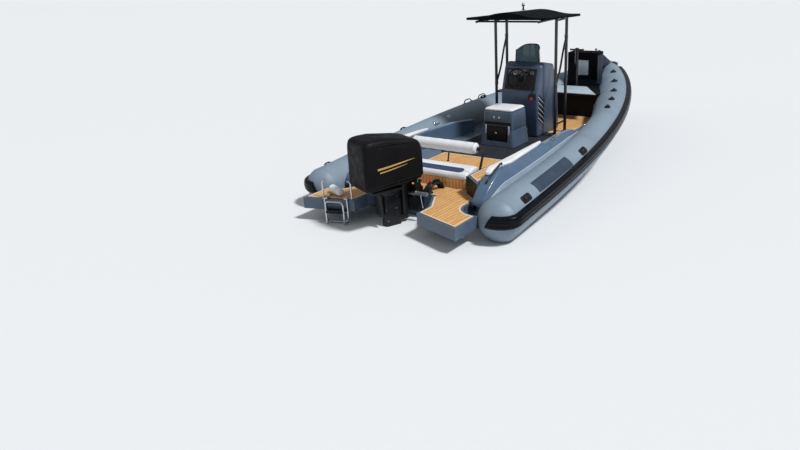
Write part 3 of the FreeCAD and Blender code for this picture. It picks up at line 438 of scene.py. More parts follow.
def tube_centre(y):
    t = taper(y)
    return np.array([(HALF_BEAM - R_AFT) * (1 - t ** 2.8) ** 0.92, y,
        TUBE_Z + TUBE_RISE * (0.86 * t + 0.14 * t * t)])


def bow_swell(y, turn):
    """How far the inner side of a tube stands inboard of its round form, along the bow."""
    along = min(max((y - 3.5) / 0.9, 0.0), 1.0) * min(max((6.35 - y) / 0.5, 0.0), 1.0)
    return BOW_SWELL * along * np.maximum(0.0, -np.cos(turn)) ** 1.3


def tube_frame(y):
    """Centre, forward, outward and upward of the starboard tube."""
    forward = unit(tube_centre(y + 0.001) - tube_centre(y - 0.001))
    outward = unit(np.cross(forward, (0, 0, 1)))
    return tube_centre(y), forward, outward, np.cross(outward, forward)


def on_tube(side, y, angle, lift=0.0):
    """A point on a tube: angle 0 is the outer side, 90 the top, 180 the inner side."""
    centre, forward, outward, upward = tube_frame(y)
    turn = math.radians(angle)
    reach = tube_radius(y) + lift
    across = math.cos(turn) * reach - bow_swell(y, turn)
    return (centre + outward * across + upward * math.sin(turn) * reach) * np.array((side, 1, 1))


def tube_arch(side, y, angle, steps):
    """Points over a tube, from rows of place along it and height above it."""
    return [on_tube(side, y + along, angle, lift) for along, lift in steps]


def on_tube_normal(side, y, angle):
    return unit(on_tube(side, y, angle, 0.1) - on_tube(side, y, angle))


def tube_stations(count):
    last = math.asin((FRONT_Y - TAPER_Y) / (BOW_Y - TAPER_Y))
    return [TAPER_Y + (BOW_Y - TAPER_Y) * math.sin(last * i / (count - 1)) for i in range(count)]


def tube_rows(side):
    """Rings of one tube, from its domed after end to the bow."""
    turn = np.linspace(0, 2 * math.pi, 72, endpoint=False)[:, None]
    rows = []
    centre, forward, outward, upward = tube_frame(TUBE_END_Y)
    for back in np.linspace(88, 4, 16):
        reach = R_AFT * math.cos(math.radians(back))
        middle = centre - forward * math.sin(math.radians(back)) * TUBE_END_LONG
        rows.append(middle + np.cos(turn) * outward * reach + np.sin(turn) * upward * reach)
    for y in tube_stations(110):
        if y > TUBE_END_Y - 0.001:
            centre, forward, outward, upward = tube_frame(y)
            reach = tube_radius(y)
            rows.append(centre + (np.cos(turn) * reach - bow_swell(y, turn)) * outward
                + np.sin(turn) * upward * reach)
    rows = np.array(rows)
    rows[..., 0] = np.maximum(rows[..., 0], 0.0004)
    return rows * np.array((side, 1, 1))


def tube_patch(kit, side, y0, angle, half_long, half_arc, lift, corner, rows=14, cols=18):
    """A thin pad of rounded outline, stuck on a tube."""
    forward_y = tube_frame(y0)[1][1]
    grid = []
    for v, high_v in [(-1, 0)] + [(v, 1) for v in np.linspace(-1, 1, rows)] + [(1, 0)]:
        arc = v * half_arc
        near = max(0.0, abs(arc) - (half_arc - corner))
        inset = corner - math.sqrt(max(corner ** 2 - near ** 2, 0.0))
        row = []
        for u, high_u in [(-1, 0)] + [(u, 1) for u in np.linspace(-1, 1, cols)] + [(1, 0)]:
            along = u * (half_long - inset)
            y = y0 + along * forward_y
            rise = (lift(u, v) if callable(lift) else lift) if high_v and high_u else -0.002
            row.append(on_tube(side, y, angle + math.degrees(arc / tube_radius(y)), rise))
        grid.append(row)
    kit.grid(grid)


def tube_ring(kit, side, y0):
    """A band of seam tape round a tube."""
    rows = []
    for offset, rise in ((-TAPE_HALF, -0.001), (-TAPE_HALF, TAPE_LIFT), (TAPE_HALF, TAPE_LIFT),
            (TAPE_HALF, -0.001)):
        rows.append([on_tube(side, y0 + offset, a, rise) for a in np.linspace(-180, 180, 80)])
    kit.grid(rows)


for side, tag in ((1, "starboard"), (-1, "port")):
    body = Kit()
    body.grid(tube_rows(side), True, False, True)
    body.make("tube_skin_" + tag, "tube_fabric", replaces=["tube_" + tag])
    tape = Kit()
    for y in (TUBE_END_Y, 1.02, 2.32, 3.55, 4.6, 5.45, 6.05):
        tube_ring(tape, side, y)
    rows = []
    for angle, rise in ((-62.5, -0.001), (-62.5, TAPE_LIFT), (-57.5, TAPE_LIFT), (-57.5, -0.001)):
        rows.append([on_tube(side, y, angle, rise) for y in np.linspace(TUBE_END_Y, 6.2, 90)])
    tape.grid(rows)
    tape.make("tube_seams_" + tag, "tube_tape", slot="tube_fabric")

STRAKE_UP = 0.06
STRAKE_SHAPE = rounded_path([(x, z, 0) for x, z in (
    (-0.06, -0.09), (0.004, -0.09), (0.024, -0.078), (0.037, -0.058), (0.041, -0.036), (0.036, -0.03),
    (0.044, -0.022), (0.045, 0.012), (0.038, 0.02), (0.043, 0.028), (0.039, 0.049), (0.028, 0.067),
    (0.008, 0.079), (-0.06, 0.079))], 0.004, 2)[:, :2]
STRAKE_LAP, STRAKE_SLANT = 95.0, 110.0


def strake_places(lap):
    """Points on the tube's widest line with the directions out and up, from inboard round the end."""
    centre, forward, outward, upward = tube_frame(TUBE_END_Y)
    for angle in np.linspace(lap, 4, 34):
        back, side = math.sin(math.radians(angle)), math.cos(math.radians(angle))
        out = unit(outward * (side / R_AFT) - forward * (back / TUBE_END_LONG))
        yield centre + outward * (R_AFT * side) - forward * (TUBE_END_LONG * back), out, np.array((0.0, 0.0,
            1.0))
    for y in tube_stations(100):
        if TUBE_END_Y < y < 6.46:
            centre, forward, outward, upward = tube_frame(y)
            yield centre + outward * tube_radius(y), outward, upward


strake, bead = Kit(), Kit()
for side in (1, -1):
    columns = []
    for a, b in STRAKE_SHAPE:
        columns.append([point + up * (STRAKE_UP + b) + out * a for point, out, up in strake_places(STRAKE_LAP
            - STRAKE_SLANT * b)])
    rows = np.array(columns).transpose(1, 0, 2)
    rows[..., 0] = np.maximum(rows[..., 0], 0.0005)
    rows = list(rows * np.array((side, 1, 1)))
    line = [(point + up * (STRAKE_UP - 0.096) - out * 0.004) * np.array((side, 1, 1))
        for point, out, up in strake_places(STRAKE_LAP)]
    strake.grid(rows, True, False, True)
    bead.sweep(line[26:-2:2], 0.009, 0.02, steps=1)
strake.make("rub_strake_ribs", "strake_rubber", replaces=["rub_strakes"])
bead.make("strake_beads", "pale_bead", slot="tube_fabric")

# Fittings on the tubes. Columns: side, place along, angle.
HANDLES = [(1, 0.09, 44), (1, 1.86, 46), (-1, 0.09, 44), (-1, 1.86, 46)]
GRIPS = [(5.866, 96), (5.254, 97.5), (4.66, 93.5), (4.163, 89), (3.722, 88)]
VALVES = [(1, 4.66, 128), (1, 2.9, 128), (-1, 2.287, 125), (-1, 2.67, 125), (-1, 4.66, 128)]
LOOPS = [(3.4, 74), (3.75, 76)]

pads, grips = Kit(), Kit()
for side, y, angle in HANDLES:
    tube_patch(pads, side, y, angle, 0.105, 0.052,
        lambda u, v: 0.004 + 0.004 * (abs(u) < 0.75) * (abs(v) < 0.7), 0.03)
    for shift in (-0.046, 0.046):
        tube_patch(pads, side, y + shift, angle, 0.026, 0.034,
            lambda u, v: 0.008 + 0.022 * (1 - u * u) * (1 - v * v), 0.02, 10, 10)
    path = ((-0.064, 0.01), (-0.047, 0.032), (0.0, 0.038), (0.047, 0.032), (0.064, 0.01))
    grips.sweep(tube_arch(side, y, angle, path), flat_section(0.03, 0.011), 0.03,
        on_tube_normal(side, y, angle))
for side in (1, -1):
    for y, angle in GRIPS:
        tube_patch(pads, side, y, angle, 0.066, 0.045, 0.005, 0.035)
        path = ((-0.048, 0.006), (-0.032, 0.03), (0.032, 0.03), (0.048, 0.006))
        grips.sweep(tube_arch(side, y, angle, path), flat_section(0.04, 0.012), 0.02,
            on_tube_normal(side, y, angle))
for y, angle in LOOPS:
    path = ((-0.09, 0.004), (-0.06, 0.05), (0.06, 0.05), (0.09, 0.004))
    grips.sweep(tube_arch(-1, y, angle, path), 0.009, 0.05)
    for s in (-0.09, 0.09):
        tube_patch(pads, -1, y + s, angle, 0.035, 0.03, 0.004, 0.02, 10, 10)
pads.make("tube_pads", "black_rubber", slot="strake_rubber")
grips.make("tube_grips", "black_rubber", slot="strake_rubber")

plates = Kit()
for side in (1, -1):
    tube_patch(plates, side, 0.9, 52, 0.515, 0.088, 0.0022, 0.006, 10, 60)
plates.make("tube_plates", "plate_slate", slot="strake_rubber")

caps = Kit()
for side, y, angle in VALVES:
    place, normal = on_tube(side, y, angle, -0.002), on_tube_normal(side, y, angle)
    caps.lathe(place, normal, [(34, 0), (34, 4), (30, 8), (22, 9), (21, 14), (16, 17), (1, 18)], 36)
caps.make("tube_valves", "chrome_fitting")


# ---------------------------------------------------------------- coaming mouldings and cushions
# Columns: place along the boat, top, how far round the tube the flare reaches.
COAMING = [(-0.11, 0.395, 5), (0.0, 0.525, 25), (0.15, 0.63, 40), (0.29, 0.7, 45), (1.015, 0.7, 45),
    (1.74, 0.7, 42), (2.4, 0.695, 35), (2.9, 0.64, 20)]
WIDE_AFT, WIDE_FORE, COAMING_INSET, DECK_Z, COAMING_TOP = 0.168, 0.085, 0.2, 0.335, 0.7
CUSHION_AFT, CUSHION_FRONT = 0.29, 1.74


def coaming_inner(y):
    return tube_centre(y)[0] - tube_radius(y) - COAMING_INSET


def coaming_wide(y):
    return float(np.interp(y, (0.15, 1.74), (WIDE_AFT, WIDE_FORE)))


def coaming_at(y, column):
    return float(np.interp(y, [row[0] for row in COAMING], [row[column] for row in COAMING]))


def coaming_row(y):
    centre, radius = tube_centre(y), tube_radius(y) - 0.01
    inner, top, reach = coaming_inner(y), coaming_at(y, 1), math.radians(coaming_at(y, 2))
    shoulder = inner + coaming_wide(y)
    foot = (centre[0] - radius * math.cos(reach), centre[2] + radius * math.sin(reach))
    mid = (shoulder * 0.45 + foot[0] * 0.55, top * 0.42 + foot[1] * 0.58 - 0.012)
    path = [(inner, DECK_Z + 0.01, 0), (inner, top, 0), (shoulder, top, 0), (*mid, 0), (*foot, 0),
        (centre[0] - radius * 0.8, min(foot[1], centre[2]) - 0.02, 0), (inner + 0.05, DECK_Z + 0.01, 0)]
    flat = rounded_path(path, 0.022, 6)
    return [(x, y, z) for x, z, _ in flat]


mould = Kit()
mould.grid([coaming_row(y) for y in np.linspace(-0.11, 2.9, 90)], True, False, True)
mould.mirror().make("side_moulding_skins", "moulding_gelcoat", slot="hull_gelcoat",
    replaces=["side_mouldings"], sharp=50)

# The outer part of each flare is covered with the tube's fabric, and a pale bead follows its edge.
beads, rails, skirt = Kit(), Kit(), Kit()
line, rows = [], []
for y in np.linspace(-0.112, 2.88, 90):
    row = np.array(coaming_row(y))
    slope = [row[20] * 0.62 + row[21] * 0.38, *row[21:34]]
    slope = [p + np.array((0.0012, 0, 0.0028)) for p in slope]
    rows.append([slope[0] - np.array((0, 0, 0.004)), *slope])
    line.append(slope[0])
skirt.grid(rows)
walls = []
for y in np.linspace(1.76, 2.899, 30):
    row = np.array(coaming_row(y))
    walls.append([p + np.array((-0.002, 0, 0.0006)) for p in row[6:12]])
skirt.grid(walls)
skirt.mirror().make("flare_covers", "tube_fabric", slot="tube_fabric")
beads.sweep(line, 0.0055, 0.02, steps=1)
beads.sweep(rows[0][1:], 0.0055, 0.005, steps=1)
beads.mirror().make("moulding_beads", "pale_bead", slot="tube_fabric")
rails.sweep([(1.08, 0.1, 0.585), (1.1, 0.085, 0.622), (1.101, 0.13, 0.648), (1.096, 0.43, 0.762),
    (1.094, 0.475, 0.757), (1.075, 0.475, 0.69)], 0.0125, 0.03)
for y, z in ((0.1, 0.578), (0.475, 0.7)):
    rails.lathe((1.076, y, z), (0.1, 0, 1), [(24, 0), (24, 4), (18, 8), (1, 9)])
rails.mirror().make("stern_grab_rails", "black_tube")


# Soft pads: a crowned closed form whose sides pull in between its corners.
def pad_rows(outline, low, high, crown, rim):
    """Rows from the middle of the underside round the rim to the middle of the top."""
    outline = np.asarray(outline, float)
    middle = outline.mean(axis=0)
    rows = []
    for share in np.linspace(0.04, 0.9, 5):
        rows.append([(*(middle + (p - middle) * share), low) for p in outline])
    for turn in np.linspace(-90, 90, 10):
        pull = rim * (1 - math.cos(math.radians(turn)))
        z = (low + high) / 2 + (high - low) / 2 * math.sin(math.radians(turn))
        rows.append([(*(p - unit(p - middle) * pull), z) for p in outline])
    for share in np.linspace(0.93, 0.02, 14):
        rows.append([(*(middle + (p - middle) * share * 0.97),
            high + crown * (1 - share ** 3)) for p in outline])
    return rows


def outline_of(corners, corner):
    """A closed outline with round corners and evenly spaced points."""
    path = rounded_path([(x, y, 0) for x, y in corners], corner, 8, True)
    out = []
    for i in range(len(path)):
        a, b = path[i], path[(i + 1) % len(path)]
        count = max(1, int(np.linalg.norm(b - a) / 0.02))
        for k in range(count):
            out.append(a + (b - a) * k / count)
    return np.array(out)[:, :2]


def puff(obj, cap, voxel, pressure=4.0):
    """Inflate a pad as cloth, limit how far it moves, and keep the result."""
    bpy.context.view_layer.objects.active = obj
    mod = obj.modifiers.new("remesh", "REMESH")
    mod.mode, mod.voxel_size = "VOXEL", voxel
    bake(obj)
    rest = np.array([v.co[:] for v in obj.data.vertices])
    cloth = obj.modifiers.new("cloth", "CLOTH")
    cloth.settings.use_pressure = True
    cloth.settings.uniform_pressure_force = pressure
    cloth.settings.effector_weights.gravity = 0.0
    cloth.settings.quality = 4
    for number in range(1, 16):
        bpy.context.scene.frame_set(number)
    bake(obj)
    moved = np.array([v.co[:] for v in obj.data.vertices])
    step = moved - rest
    far = np.linalg.norm(step, axis=1, keepdims=True)
    step *= np.minimum(1.0, cap / np.maximum(far, 1e-9))
    obj.data.vertices.foreach_set("co", (rest + step).ravel())
    bpy.context.scene.frame_set(1)
    smooth = obj.modifiers.new("smooth", "CORRECTIVE_SMOOTH")
    smooth.iterations, smooth.use_only_smooth = 2, True
    bake(obj)
    obj.data.shade_smooth()


def bake(obj):
    """Replace a mesh by what its modifiers make of it."""
    shown = obj.evaluated_get(bpy.context.evaluated_depsgraph_get())
    made = bpy.data.meshes.new_from_object(shown)
    obj.modifiers.clear()
    old = obj.data
    made.materials.clear()
    for material in old.materials:
        made.materials.append(material)
    obj.data = made
    bpy.data.meshes.remove(old)


def settle(kit, mirror, follow):
    """Repeat a pad on the other side and let it follow a falling shoulder."""
    if mirror:
        kit.mirror()
    if follow:
        kit.points = [(x, y, z + follow(y)) for x, y, z in kit.points]


def soft_pad(name, corners, corner, low, high, crown, rim, finish, body, replaces, cap, voxel, mirror=False,
        follow=None):
    """A cushion: its outline and heights, how it is crowned, and how far cloth pressure moves it."""
    kit = Kit()
    kit.grid(pad_rows(outline_of(corners, corner), low, high, crown, rim), True, False, True)
    settle(kit, mirror, follow)
    obj = kit.make(name, finish, body, "upholstery", 60, replaces)
    puff(obj, cap, voxel)
    return obj


def piping(name, corners, corner, z, radius, finish, body, inset=0.002, mirror=False, follow=None):
    """A sewn bead round a pad."""
    ring = outline_of(corners, corner)
    middle = ring.mean(axis=0)
    kit = Kit()
    kit.sweep([(*(p - unit(p - middle) * inset), z) for p in ring], radius, 0.002, closed=True, steps=1)
    settle(kit, mirror, follow)
    return kit.make(name, finish, body, "upholstery")


a, b = coaming_inner(CUSHION_AFT), coaming_inner(CUSHION_FRONT)
CUSHION = [(a + 0.006, CUSHION_AFT - 0.1), (a + 0.092, CUSHION_AFT - 0.1), (a + 0.098, CUSHION_AFT + 0.12),
    (a + 0.15, CUSHION_AFT + 0.36), (b + 0.092, CUSHION_FRONT - 0.22), (b + 0.045, CUSHION_FRONT - 0.005),
    (b + 0.012, CUSHION_FRONT - 0.005)]


def shoulder_drop(y):
    return coaming_at(y, 1) - COAMING_TOP


soft_pad("coaming_pads", CUSHION, 0.035, 0.701, 0.745, 0.007, 0.014, "upholstery", "hull",
    ["coaming_cushions"], 0.004, 0.007, mirror=True, follow=shoulder_drop)
piping("coaming_pad_piping", CUSHION, 0.035, 0.726, 0.0035, "upholstery_seam", "hull", mirror=True,
    follow=shoulder_drop)

# The bench pad in side view: its after face slants down to a rounded lip.
BENCH_HALF, BENCH_ROUND = 0.612, 0.06
BENCH_SIDE = [(0.688, 0.5), (0.688, 0.592), (0.6, 0.606), (0.52, 0.6), (0.372, 0.556), (0.345, 0.52),
    (0.35, 0.47), (0.42, 0.476)]


def bench_ring(x, shrink=0.0):
    section = rounded_path([(0, y, z) for y, z in BENCH_SIDE], 0.024, 5, True)
    middle = section.mean(axis=0)
    return [(x, *(p - unit(p - middle) * shrink)[1:]) for p in section]


bench = Kit()
ends = []
for turn in np.radians(np.linspace(-90, -8, 9)):
    ends.append((-BENCH_HALF + BENCH_ROUND * (1 + math.sin(turn)), BENCH_ROUND * 0.7 * (1 - math.cos(turn))))
rows = [bench_ring(*end) for end in ends]
rows += [bench_ring(x) for x in np.linspace(-BENCH_HALF + BENCH_ROUND, BENCH_HALF - BENCH_ROUND, 60)]
rows += [bench_ring(-x, shrink) for x, shrink in ends[::-1]]
bench.grid(rows, True, False, True)
bench_obj = bench.make("bench_pad", "bench_vinyl", "hull", "upholstery", 60, ["bench_cushion"])
puff(bench_obj, 0.006, 0.009)
seam = Kit()
for side in (-1, 1):
    seam.sweep(bench_ring(side * (BENCH_HALF - 0.034), 0.006), 0.004, 0.002, closed=True, steps=1)
seam.make("bench_pad_piping", "upholstery_seam", "hull", "upholstery")

# The roll on its bar, with end caps drawn in by a cord.
ROLL_AT = (0.76, 0.815)
roll = Kit()
ends = [(18, 542), (58, 538), (73, 526), (79, 503)]
profile = [(r, -x) for r, x in ends]
profile += [(79.5 + 1.2 * math.sin(i * 0.9) - 1.2 * (abs(i % 10 - 5) > 4),
    -490 + i * 24.5) for i in range(41)]
profile += ends[::-1]
roll.lathe((0, *ROLL_AT), ACROSS, profile, 56)
roll_obj = roll.make("roll_cushion", "upholstery", "backrest", "upholstery", 60, ["backrest_roll"])
puff(roll_obj, 0.003, 0.008, 2.0)
seam = Kit()
for x in (-0.512, 0.512):
    seam.lathe((x - 0.002, *ROLL_AT), ACROSS, [(66, 0), (81.2, 0.5), (82.2, 2), (81.2, 3.5), (66, 4)], 56)
seam.make("roll_piping", "upholstery_seam", "backrest", "upholstery")
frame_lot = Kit()
for x in (-0.65, 0.65):
    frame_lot.sweep([(x, 0.61, 0.49), (x, 0.7, 0.69), (x, *ROLL_AT), (x * 0.86, 0.762, 0.818)], 0.017, 0.05)
    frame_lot.lathe((x - 0.018 if x > 0 else x + 0.018, 0.61, 0.49), (1 if x > 0 else -1, 0, 0),
        [(26, 0), (26, 30), (22, 36), (1, 37)])
for x in (-0.56, 0.56):
    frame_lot.lathe((x - 0.012, *ROLL_AT), ACROSS, [(16, 0), (30, 2), (30, 22), (16, 24)])
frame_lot.sweep([(-0.64, 0.745, 0.735), (0.64, 0.745, 0.735)], 0.01)
for x in (-0.42, 0.08):
    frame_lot.sweep([(x, 0.745, 0.735), (x, 0.715, 0.602)], 0.011)
    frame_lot.lathe((x, 0.715, 0.598), UP, [(18, 0), (18, 6), (11, 10)])
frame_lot.make("backrest_stanchions", "black_tube", "backrest")

# Teak on the bench's after face.
risers = Kit()
risers.box((-0.59, 0.36, 0.344), (0.59, 0.3695, 0.474), 0.002)
# A strip joins the platforms' planks to those of the after deck.
for side in (-1, 1):
    x0, x1 = sorted((side * 0.366, side * 0.886))
    risers.box((x0, -0.061, 0.3432), (x1, 0.038, 0.3447), 0.0004)
risers.make("bench_teak_panels", "teak_deck", slot="teak_deck")
STEP_IN, STEP_OUT, STEP_AFT, STEP_FRONT = 0.675, 0.981, 0.025, 0.26
step_top = max(v.co.z for v in NODES["side_steps"].data.vertices)
# Painted shade: thin black plates on the side steps' slanting after faces stand for the shade on those
# risers.
riser_shade = Kit()
for side in (-1, 1):
    face = [(side * STEP_IN, STEP_FRONT - 0.003), (side * STEP_OUT, STEP_AFT - 0.003),
        (side * STEP_OUT, STEP_AFT + 0.004), (side * STEP_IN, STEP_FRONT + 0.004)]
    riser_shade.prism(face, 2, 0.3445, step_top - 0.004, 0.0)
riser_shade.make("step_riser_painted_shade", "black_rubber", slot="strake_rubber")

# ---------------------------------------------------------------- teak borders
def outline_loops(obj, up=0.9):
    """Closed outlines of a node's upward faces."""
    mesh = obj.data
    count = {}
    for face in mesh.polygons:
        if face.normal.z > up:
            loop = list(face.vertices)
            for i, a in enumerate(loop):
                b = loop[(i + 1) % len(loop)]
                key = tuple(sorted((tuple(round(c, 5) for c in mesh.vertices[a].co),
                    tuple(round(c, 5) for c in mesh.vertices[b].co))))
                count.setdefault(key, []).append((key[0], key[1]))
    links = {}
    for (p, q), uses in count.items():
        if len(uses) == 1:
            links.setdefault(p, []).append(q)
            links.setdefault(q, []).append(p)
    loops, seen = [], set()
    for start in sorted(links):
        if start in seen:
            continue
        loop, here, before = [start], start, None
        seen.add(start)
        while True:
            onward = [p for p in links[here]
                if p != before and (p not in seen or p == start and len(loop) > 2)]
            if not onward or onward[0] == start:
                break
            before, here = here, onward[0]
            seen.add(here)
            loop.append(here)
        if len(loop) > 2:
            loops.append(np.array(loop))
    return loops


def border_strip(kit, loop, wide, lift=0.0008):
    """A flat band along the inside of an outline."""
    area = 0.5 * sum(loop[i - 1][0] * loop[i][1] - loop[i][0] * loop[i - 1][1] for i in range(len(loop)))
    if area < 0:
        loop = loop[::-1]
    clean = [p for i, p in enumerate(loop) if np.linalg.norm(p - loop[i - 1]) > 0.002]
    outer, inner = [], []
    for i, p in enumerate(clean):
        a, b = unit((p - clean[i - 1])[:2]), unit((clean[(i + 1) % len(clean)] - p)[:2])
        normal = unit(np.array((-a[1] - b[1], a[0] + b[0])))
        reach = wide / max(0.35, normal.dot((-a[1], a[0])))
        outer.append((p[0] + normal[0] * 0.001, p[1] + normal[1] * 0.001, p[2] + lift))
        inner.append((p[0] + normal[0] * reach, p[1] + normal[1] * reach, p[2] + lift))
    kit.grid([outer, inner], True)


borders = Kit()
for node in ("platform_teak", "cockpit_teak"):
    for loop in outline_loops(NODES[node]):
        border_strip(borders, loop, 0.022)
borders.make("teak_borders", "teak_border", slot="teak_deck")

# ---------------------------------------------------------------- helm seat
SEAT_HALF, SEAT_AFT, SEAT_FRONT, SEAT_CORNER, MAT_Z = 0.275, 2.215, 2.675, 0.055, 0.4385


def seat_row(z, grow):
    half, aft, fore = SEAT_HALF + grow, SEAT_AFT - grow, SEAT_FRONT + grow * 0.4
    path = rounded_path([(-half, aft, 0), (half, aft, 0), (half, fore, 0), (-half, fore, 0)], SEAT_CORNER, 6,
        True)
    return [(x, y, z) for x, y, _ in path]


shell, rows = Kit(), []
for z, grow in ((MAT_Z, 0.03), (0.446, 0.036), (0.52, 0.026), (0.6, 0.016), (0.694, 0.004), (0.698, -0.002),
        (0.702, -0.002), (0.706, 0.0005), (0.86, -0.006), (0.955, -0.012), (0.975, -0.018), (0.982, -0.032)):
    rows.append(seat_row(z, grow))
shell.grid(rows, True, False, True)
shell_obj = shell.make("helm_seat_shell", "hull_gelcoat", replaces=["helm_seat_box"], sharp=40)
hole = Kit()
hole.box((-0.192, 2.1, 0.515), (0.192, 2.585, 0.76), 0.0)
hole.box((-0.236, 2.19, 0.776), (0.236, 2.236, 0.824), 0.0)
hole_obj = hole.make("seat_cutter", "hull_gelcoat")
boolean = shell_obj.modifiers.new("recess", "BOOLEAN")
boolean.operation, boolean.solver, boolean.object = "DIFFERENCE", "EXACT", hole_obj
bake(shell_obj)
shell_obj.data.shade_smooth()
shell_obj.data.set_sharp_from_angle(angle=math.radians(40))
bpy.data.objects.remove(hole_obj)

seat = Kit()
for x in (-0.205, 0.205):
    seat.box((x - 0.012, 2.203, 0.505), (x + 0.012, 2.222, 0.77), 0.006)
seat.box((-0.217, 2.198, 0.497), (0.217, 2.224, 0.515), 0.006)
seat.make("seat_recess_frame", "bow_board", slot="hull_gelcoat")
# Painted shade: a black band in the slot under the seat's top panel stands for the shadow in that gap.
dark = Kit()
dark.box((-0.232, 2.214, 0.779), (0.232, 2.232, 0.821), 0.002)
dark.make("seat_gap_painted_shade", "black_plastic")
latch = Kit()
for x in (-0.055, 0.036):
    latch.lathe((x, 2.224, 0.893), (0, -1, 0), [(20, 0), (20, 10), (16, 14), (10, 15), (9, 22), (1, 23)])
latch.box((0.2655, 2.64, 0.612), (0.284, 2.67, 0.655), 0.004)
latch.lathe((0.275, 2.6, 0.633), ACROSS, [(17, 0), (17, 6), (10, 11), (1, 12)])
latch.make("seat_latches", "chrome_fitting")
drawer = Kit()
drawer.box((-0.184, 2.216, 0.524), (0.184, 2.226, 0.752), 0.006)
drawer.box((-0.165, 2.2085, 0.545), (0.165, 2.218, 0.7), 0.005)
drawer.make("drawer_front", "black_plastic", "seat_drawer")
knob = Kit()
knob.lathe((-0.02, 2.2085, 0.648), (0, -1, 0), [(14, 0), (14, 3), (8, 6), (8, 14), (13, 18), (10, 23),
    (1, 24)])
knob.make("drawer_knob", "chrome_fitting", "seat_drawer")
HELM = [(-0.255, 2.24), (0.255, 2.24), (0.255, 2.66), (-0.255, 2.66)]
soft_pad("helm_seat_pad", HELM, 0.05, 0.986, 1.02, 0.008, 0.014, "upholstery", "seat_lid",
    ["helm_seat_cushion"], 0.007, 0.008)
piping("helm_seat_piping", HELM, 0.05, 1.006, 0.0035, "upholstery_seam", "seat_lid", 0.003)

# ---------------------------------------------------------------- console, dash and windscreen
CONSOLE_HALF = 0.33
PROFILE = [(2.93, MAT_Z), (2.9, 1.138), (3.03, 1.558), (3.15, 1.618), (3.48, 1.548), (3.64, 1.138),
    (3.7, MAT_Z)]
shell = Kit()
shell.prism(PROFILE, 0, -CONSOLE_HALF, CONSOLE_HALF, 0.034, segments=5)
shell.make("console_shell", "console_gelcoat", slot="hull_gelcoat", replaces=["console"], sharp=40)
gills, ribs = Kit(), Kit()
tilt = Matrix.Rotation(math.radians(-35), 4, "X")
for side in (-1, 1):
    for i in range(5):
        hinge = Matrix.Translation((side * CONSOLE_HALF, 2.955, 1.118 - 0.084 * i)) @ tilt
        x0, x1 = sorted((-0.01 * side, 0.003 * side))
        gills.box((x0, 0, -0.022), (x1, 0.235, 0.02), 0.002, hinge)
        x0, x1 = sorted((0.0, 0.011 * side))
        ribs.box((x0, -0.006, -0.036), (x1, 0.242, -0.021), 0.004, hinge)
gills.make("console_gills", "black_plastic")
ribs.make("console_gill_ribs", "bow_board", slot="hull_gelcoat")

LEAN, DASH_AT = math.atan2(0.13, 0.42), (0, 2.965, 1.3483)
dash = Matrix.Translation(DASH_AT) @ Matrix.Rotation(-LEAN, 4, "X")
panel = Kit()
panel.box((-0.27, -0.01, -0.155), (0.27, 0.01, 0.185), 0.004, dash)
panel.make("dash_panel", "black_plastic")
gauge = Kit()
GAUGES, out = ((-0.19, 38), (-0.1, 38), (0.2, 30)), dash.to_3x3() @ Vector((0, -1, 0))
for x, r in GAUGES:
    gauge.lathe(dash @ Vector((x, -0.01, 0.12)), out, [(r, 0), (r, 8), (r * 0.86, 10), (r * 0.84, 4), (1, 4)],
        36)
gauge.make("dash_gauges", "chrome_fitting")
faces = Kit()
for x, r in GAUGES:
    faces.lathe(dash @ Vector((x, -0.012, 0.12)), out, [(r - 5, 0), (r - 5, 3), (1, 3.5)], 32)
faces.make("gauge_faces", "display_glass", slot="black_plastic")
screen = Kit()
screen.box((-0.045, -0.02, 0.045), (0.155, -0.004, 0.175), 0.004, dash)
screen.make("dash_display", "display_glass", slot="black_plastic")
switches = Kit()
for i in range(6):
    x = -0.235 + 0.032 * i
    switches.box((x, -0.016, -0.125), (x + 0.02, -0.006, -0.09), 0.002, dash)
switches.make("dash_switches", "black_rubber", slot="black_plastic")
kill = Kit()
place = Vector((0.262, 2.872, 1.082))
kill.lathe(place, (0, -1, 0.1), [(30, 0), (30, 8), (22, 12), (16, 14), (16, 30), (26, 34), (28, 42), (22, 48),
    (1, 50)], 36)
kill.make("kill_switch", "signal_red", slot="black_plastic")

# Steering wheel: rim, three spokes and a boss.
axis = np.array((0, -math.cos(LEAN), math.sin(LEAN)))
hub = np.array(DASH_AT) + axis * 0.15
first, second = square_to(axis)
wheel = Kit()
ring = [hub + (first * math.cos(t) + second * math.sin(t)) * 0.155
    for t in np.linspace(0, 2 * math.pi, 60, False)]
wheel.sweep(ring, 0.0145, 0.004, closed=True, steps=1)
for i in range(3):
    t = math.radians(90 + 120 * i)
    out = first * math.cos(t) + second * math.sin(t)
    wheel.sweep([hub + out * 0.03 - axis * 0.006, hub + out * 0.09 - axis * 0.004, hub + out * 0.152],
        flat_section(0.03, 0.008), 0.03, axis)
wheel.lathe(hub - axis * 0.02, axis, [(42, 0), (46, 6), (44, 20), (30, 28), (1, 30)], 40)
wheel.lathe(hub - axis * 0.144, axis, [(30, 0), (30, 30), (20, 40), (20, 124)], 30)
wheel.make("wheel_rim", "black_rubber", "wheel", "black_plastic", replaces=["steering_wheel"])

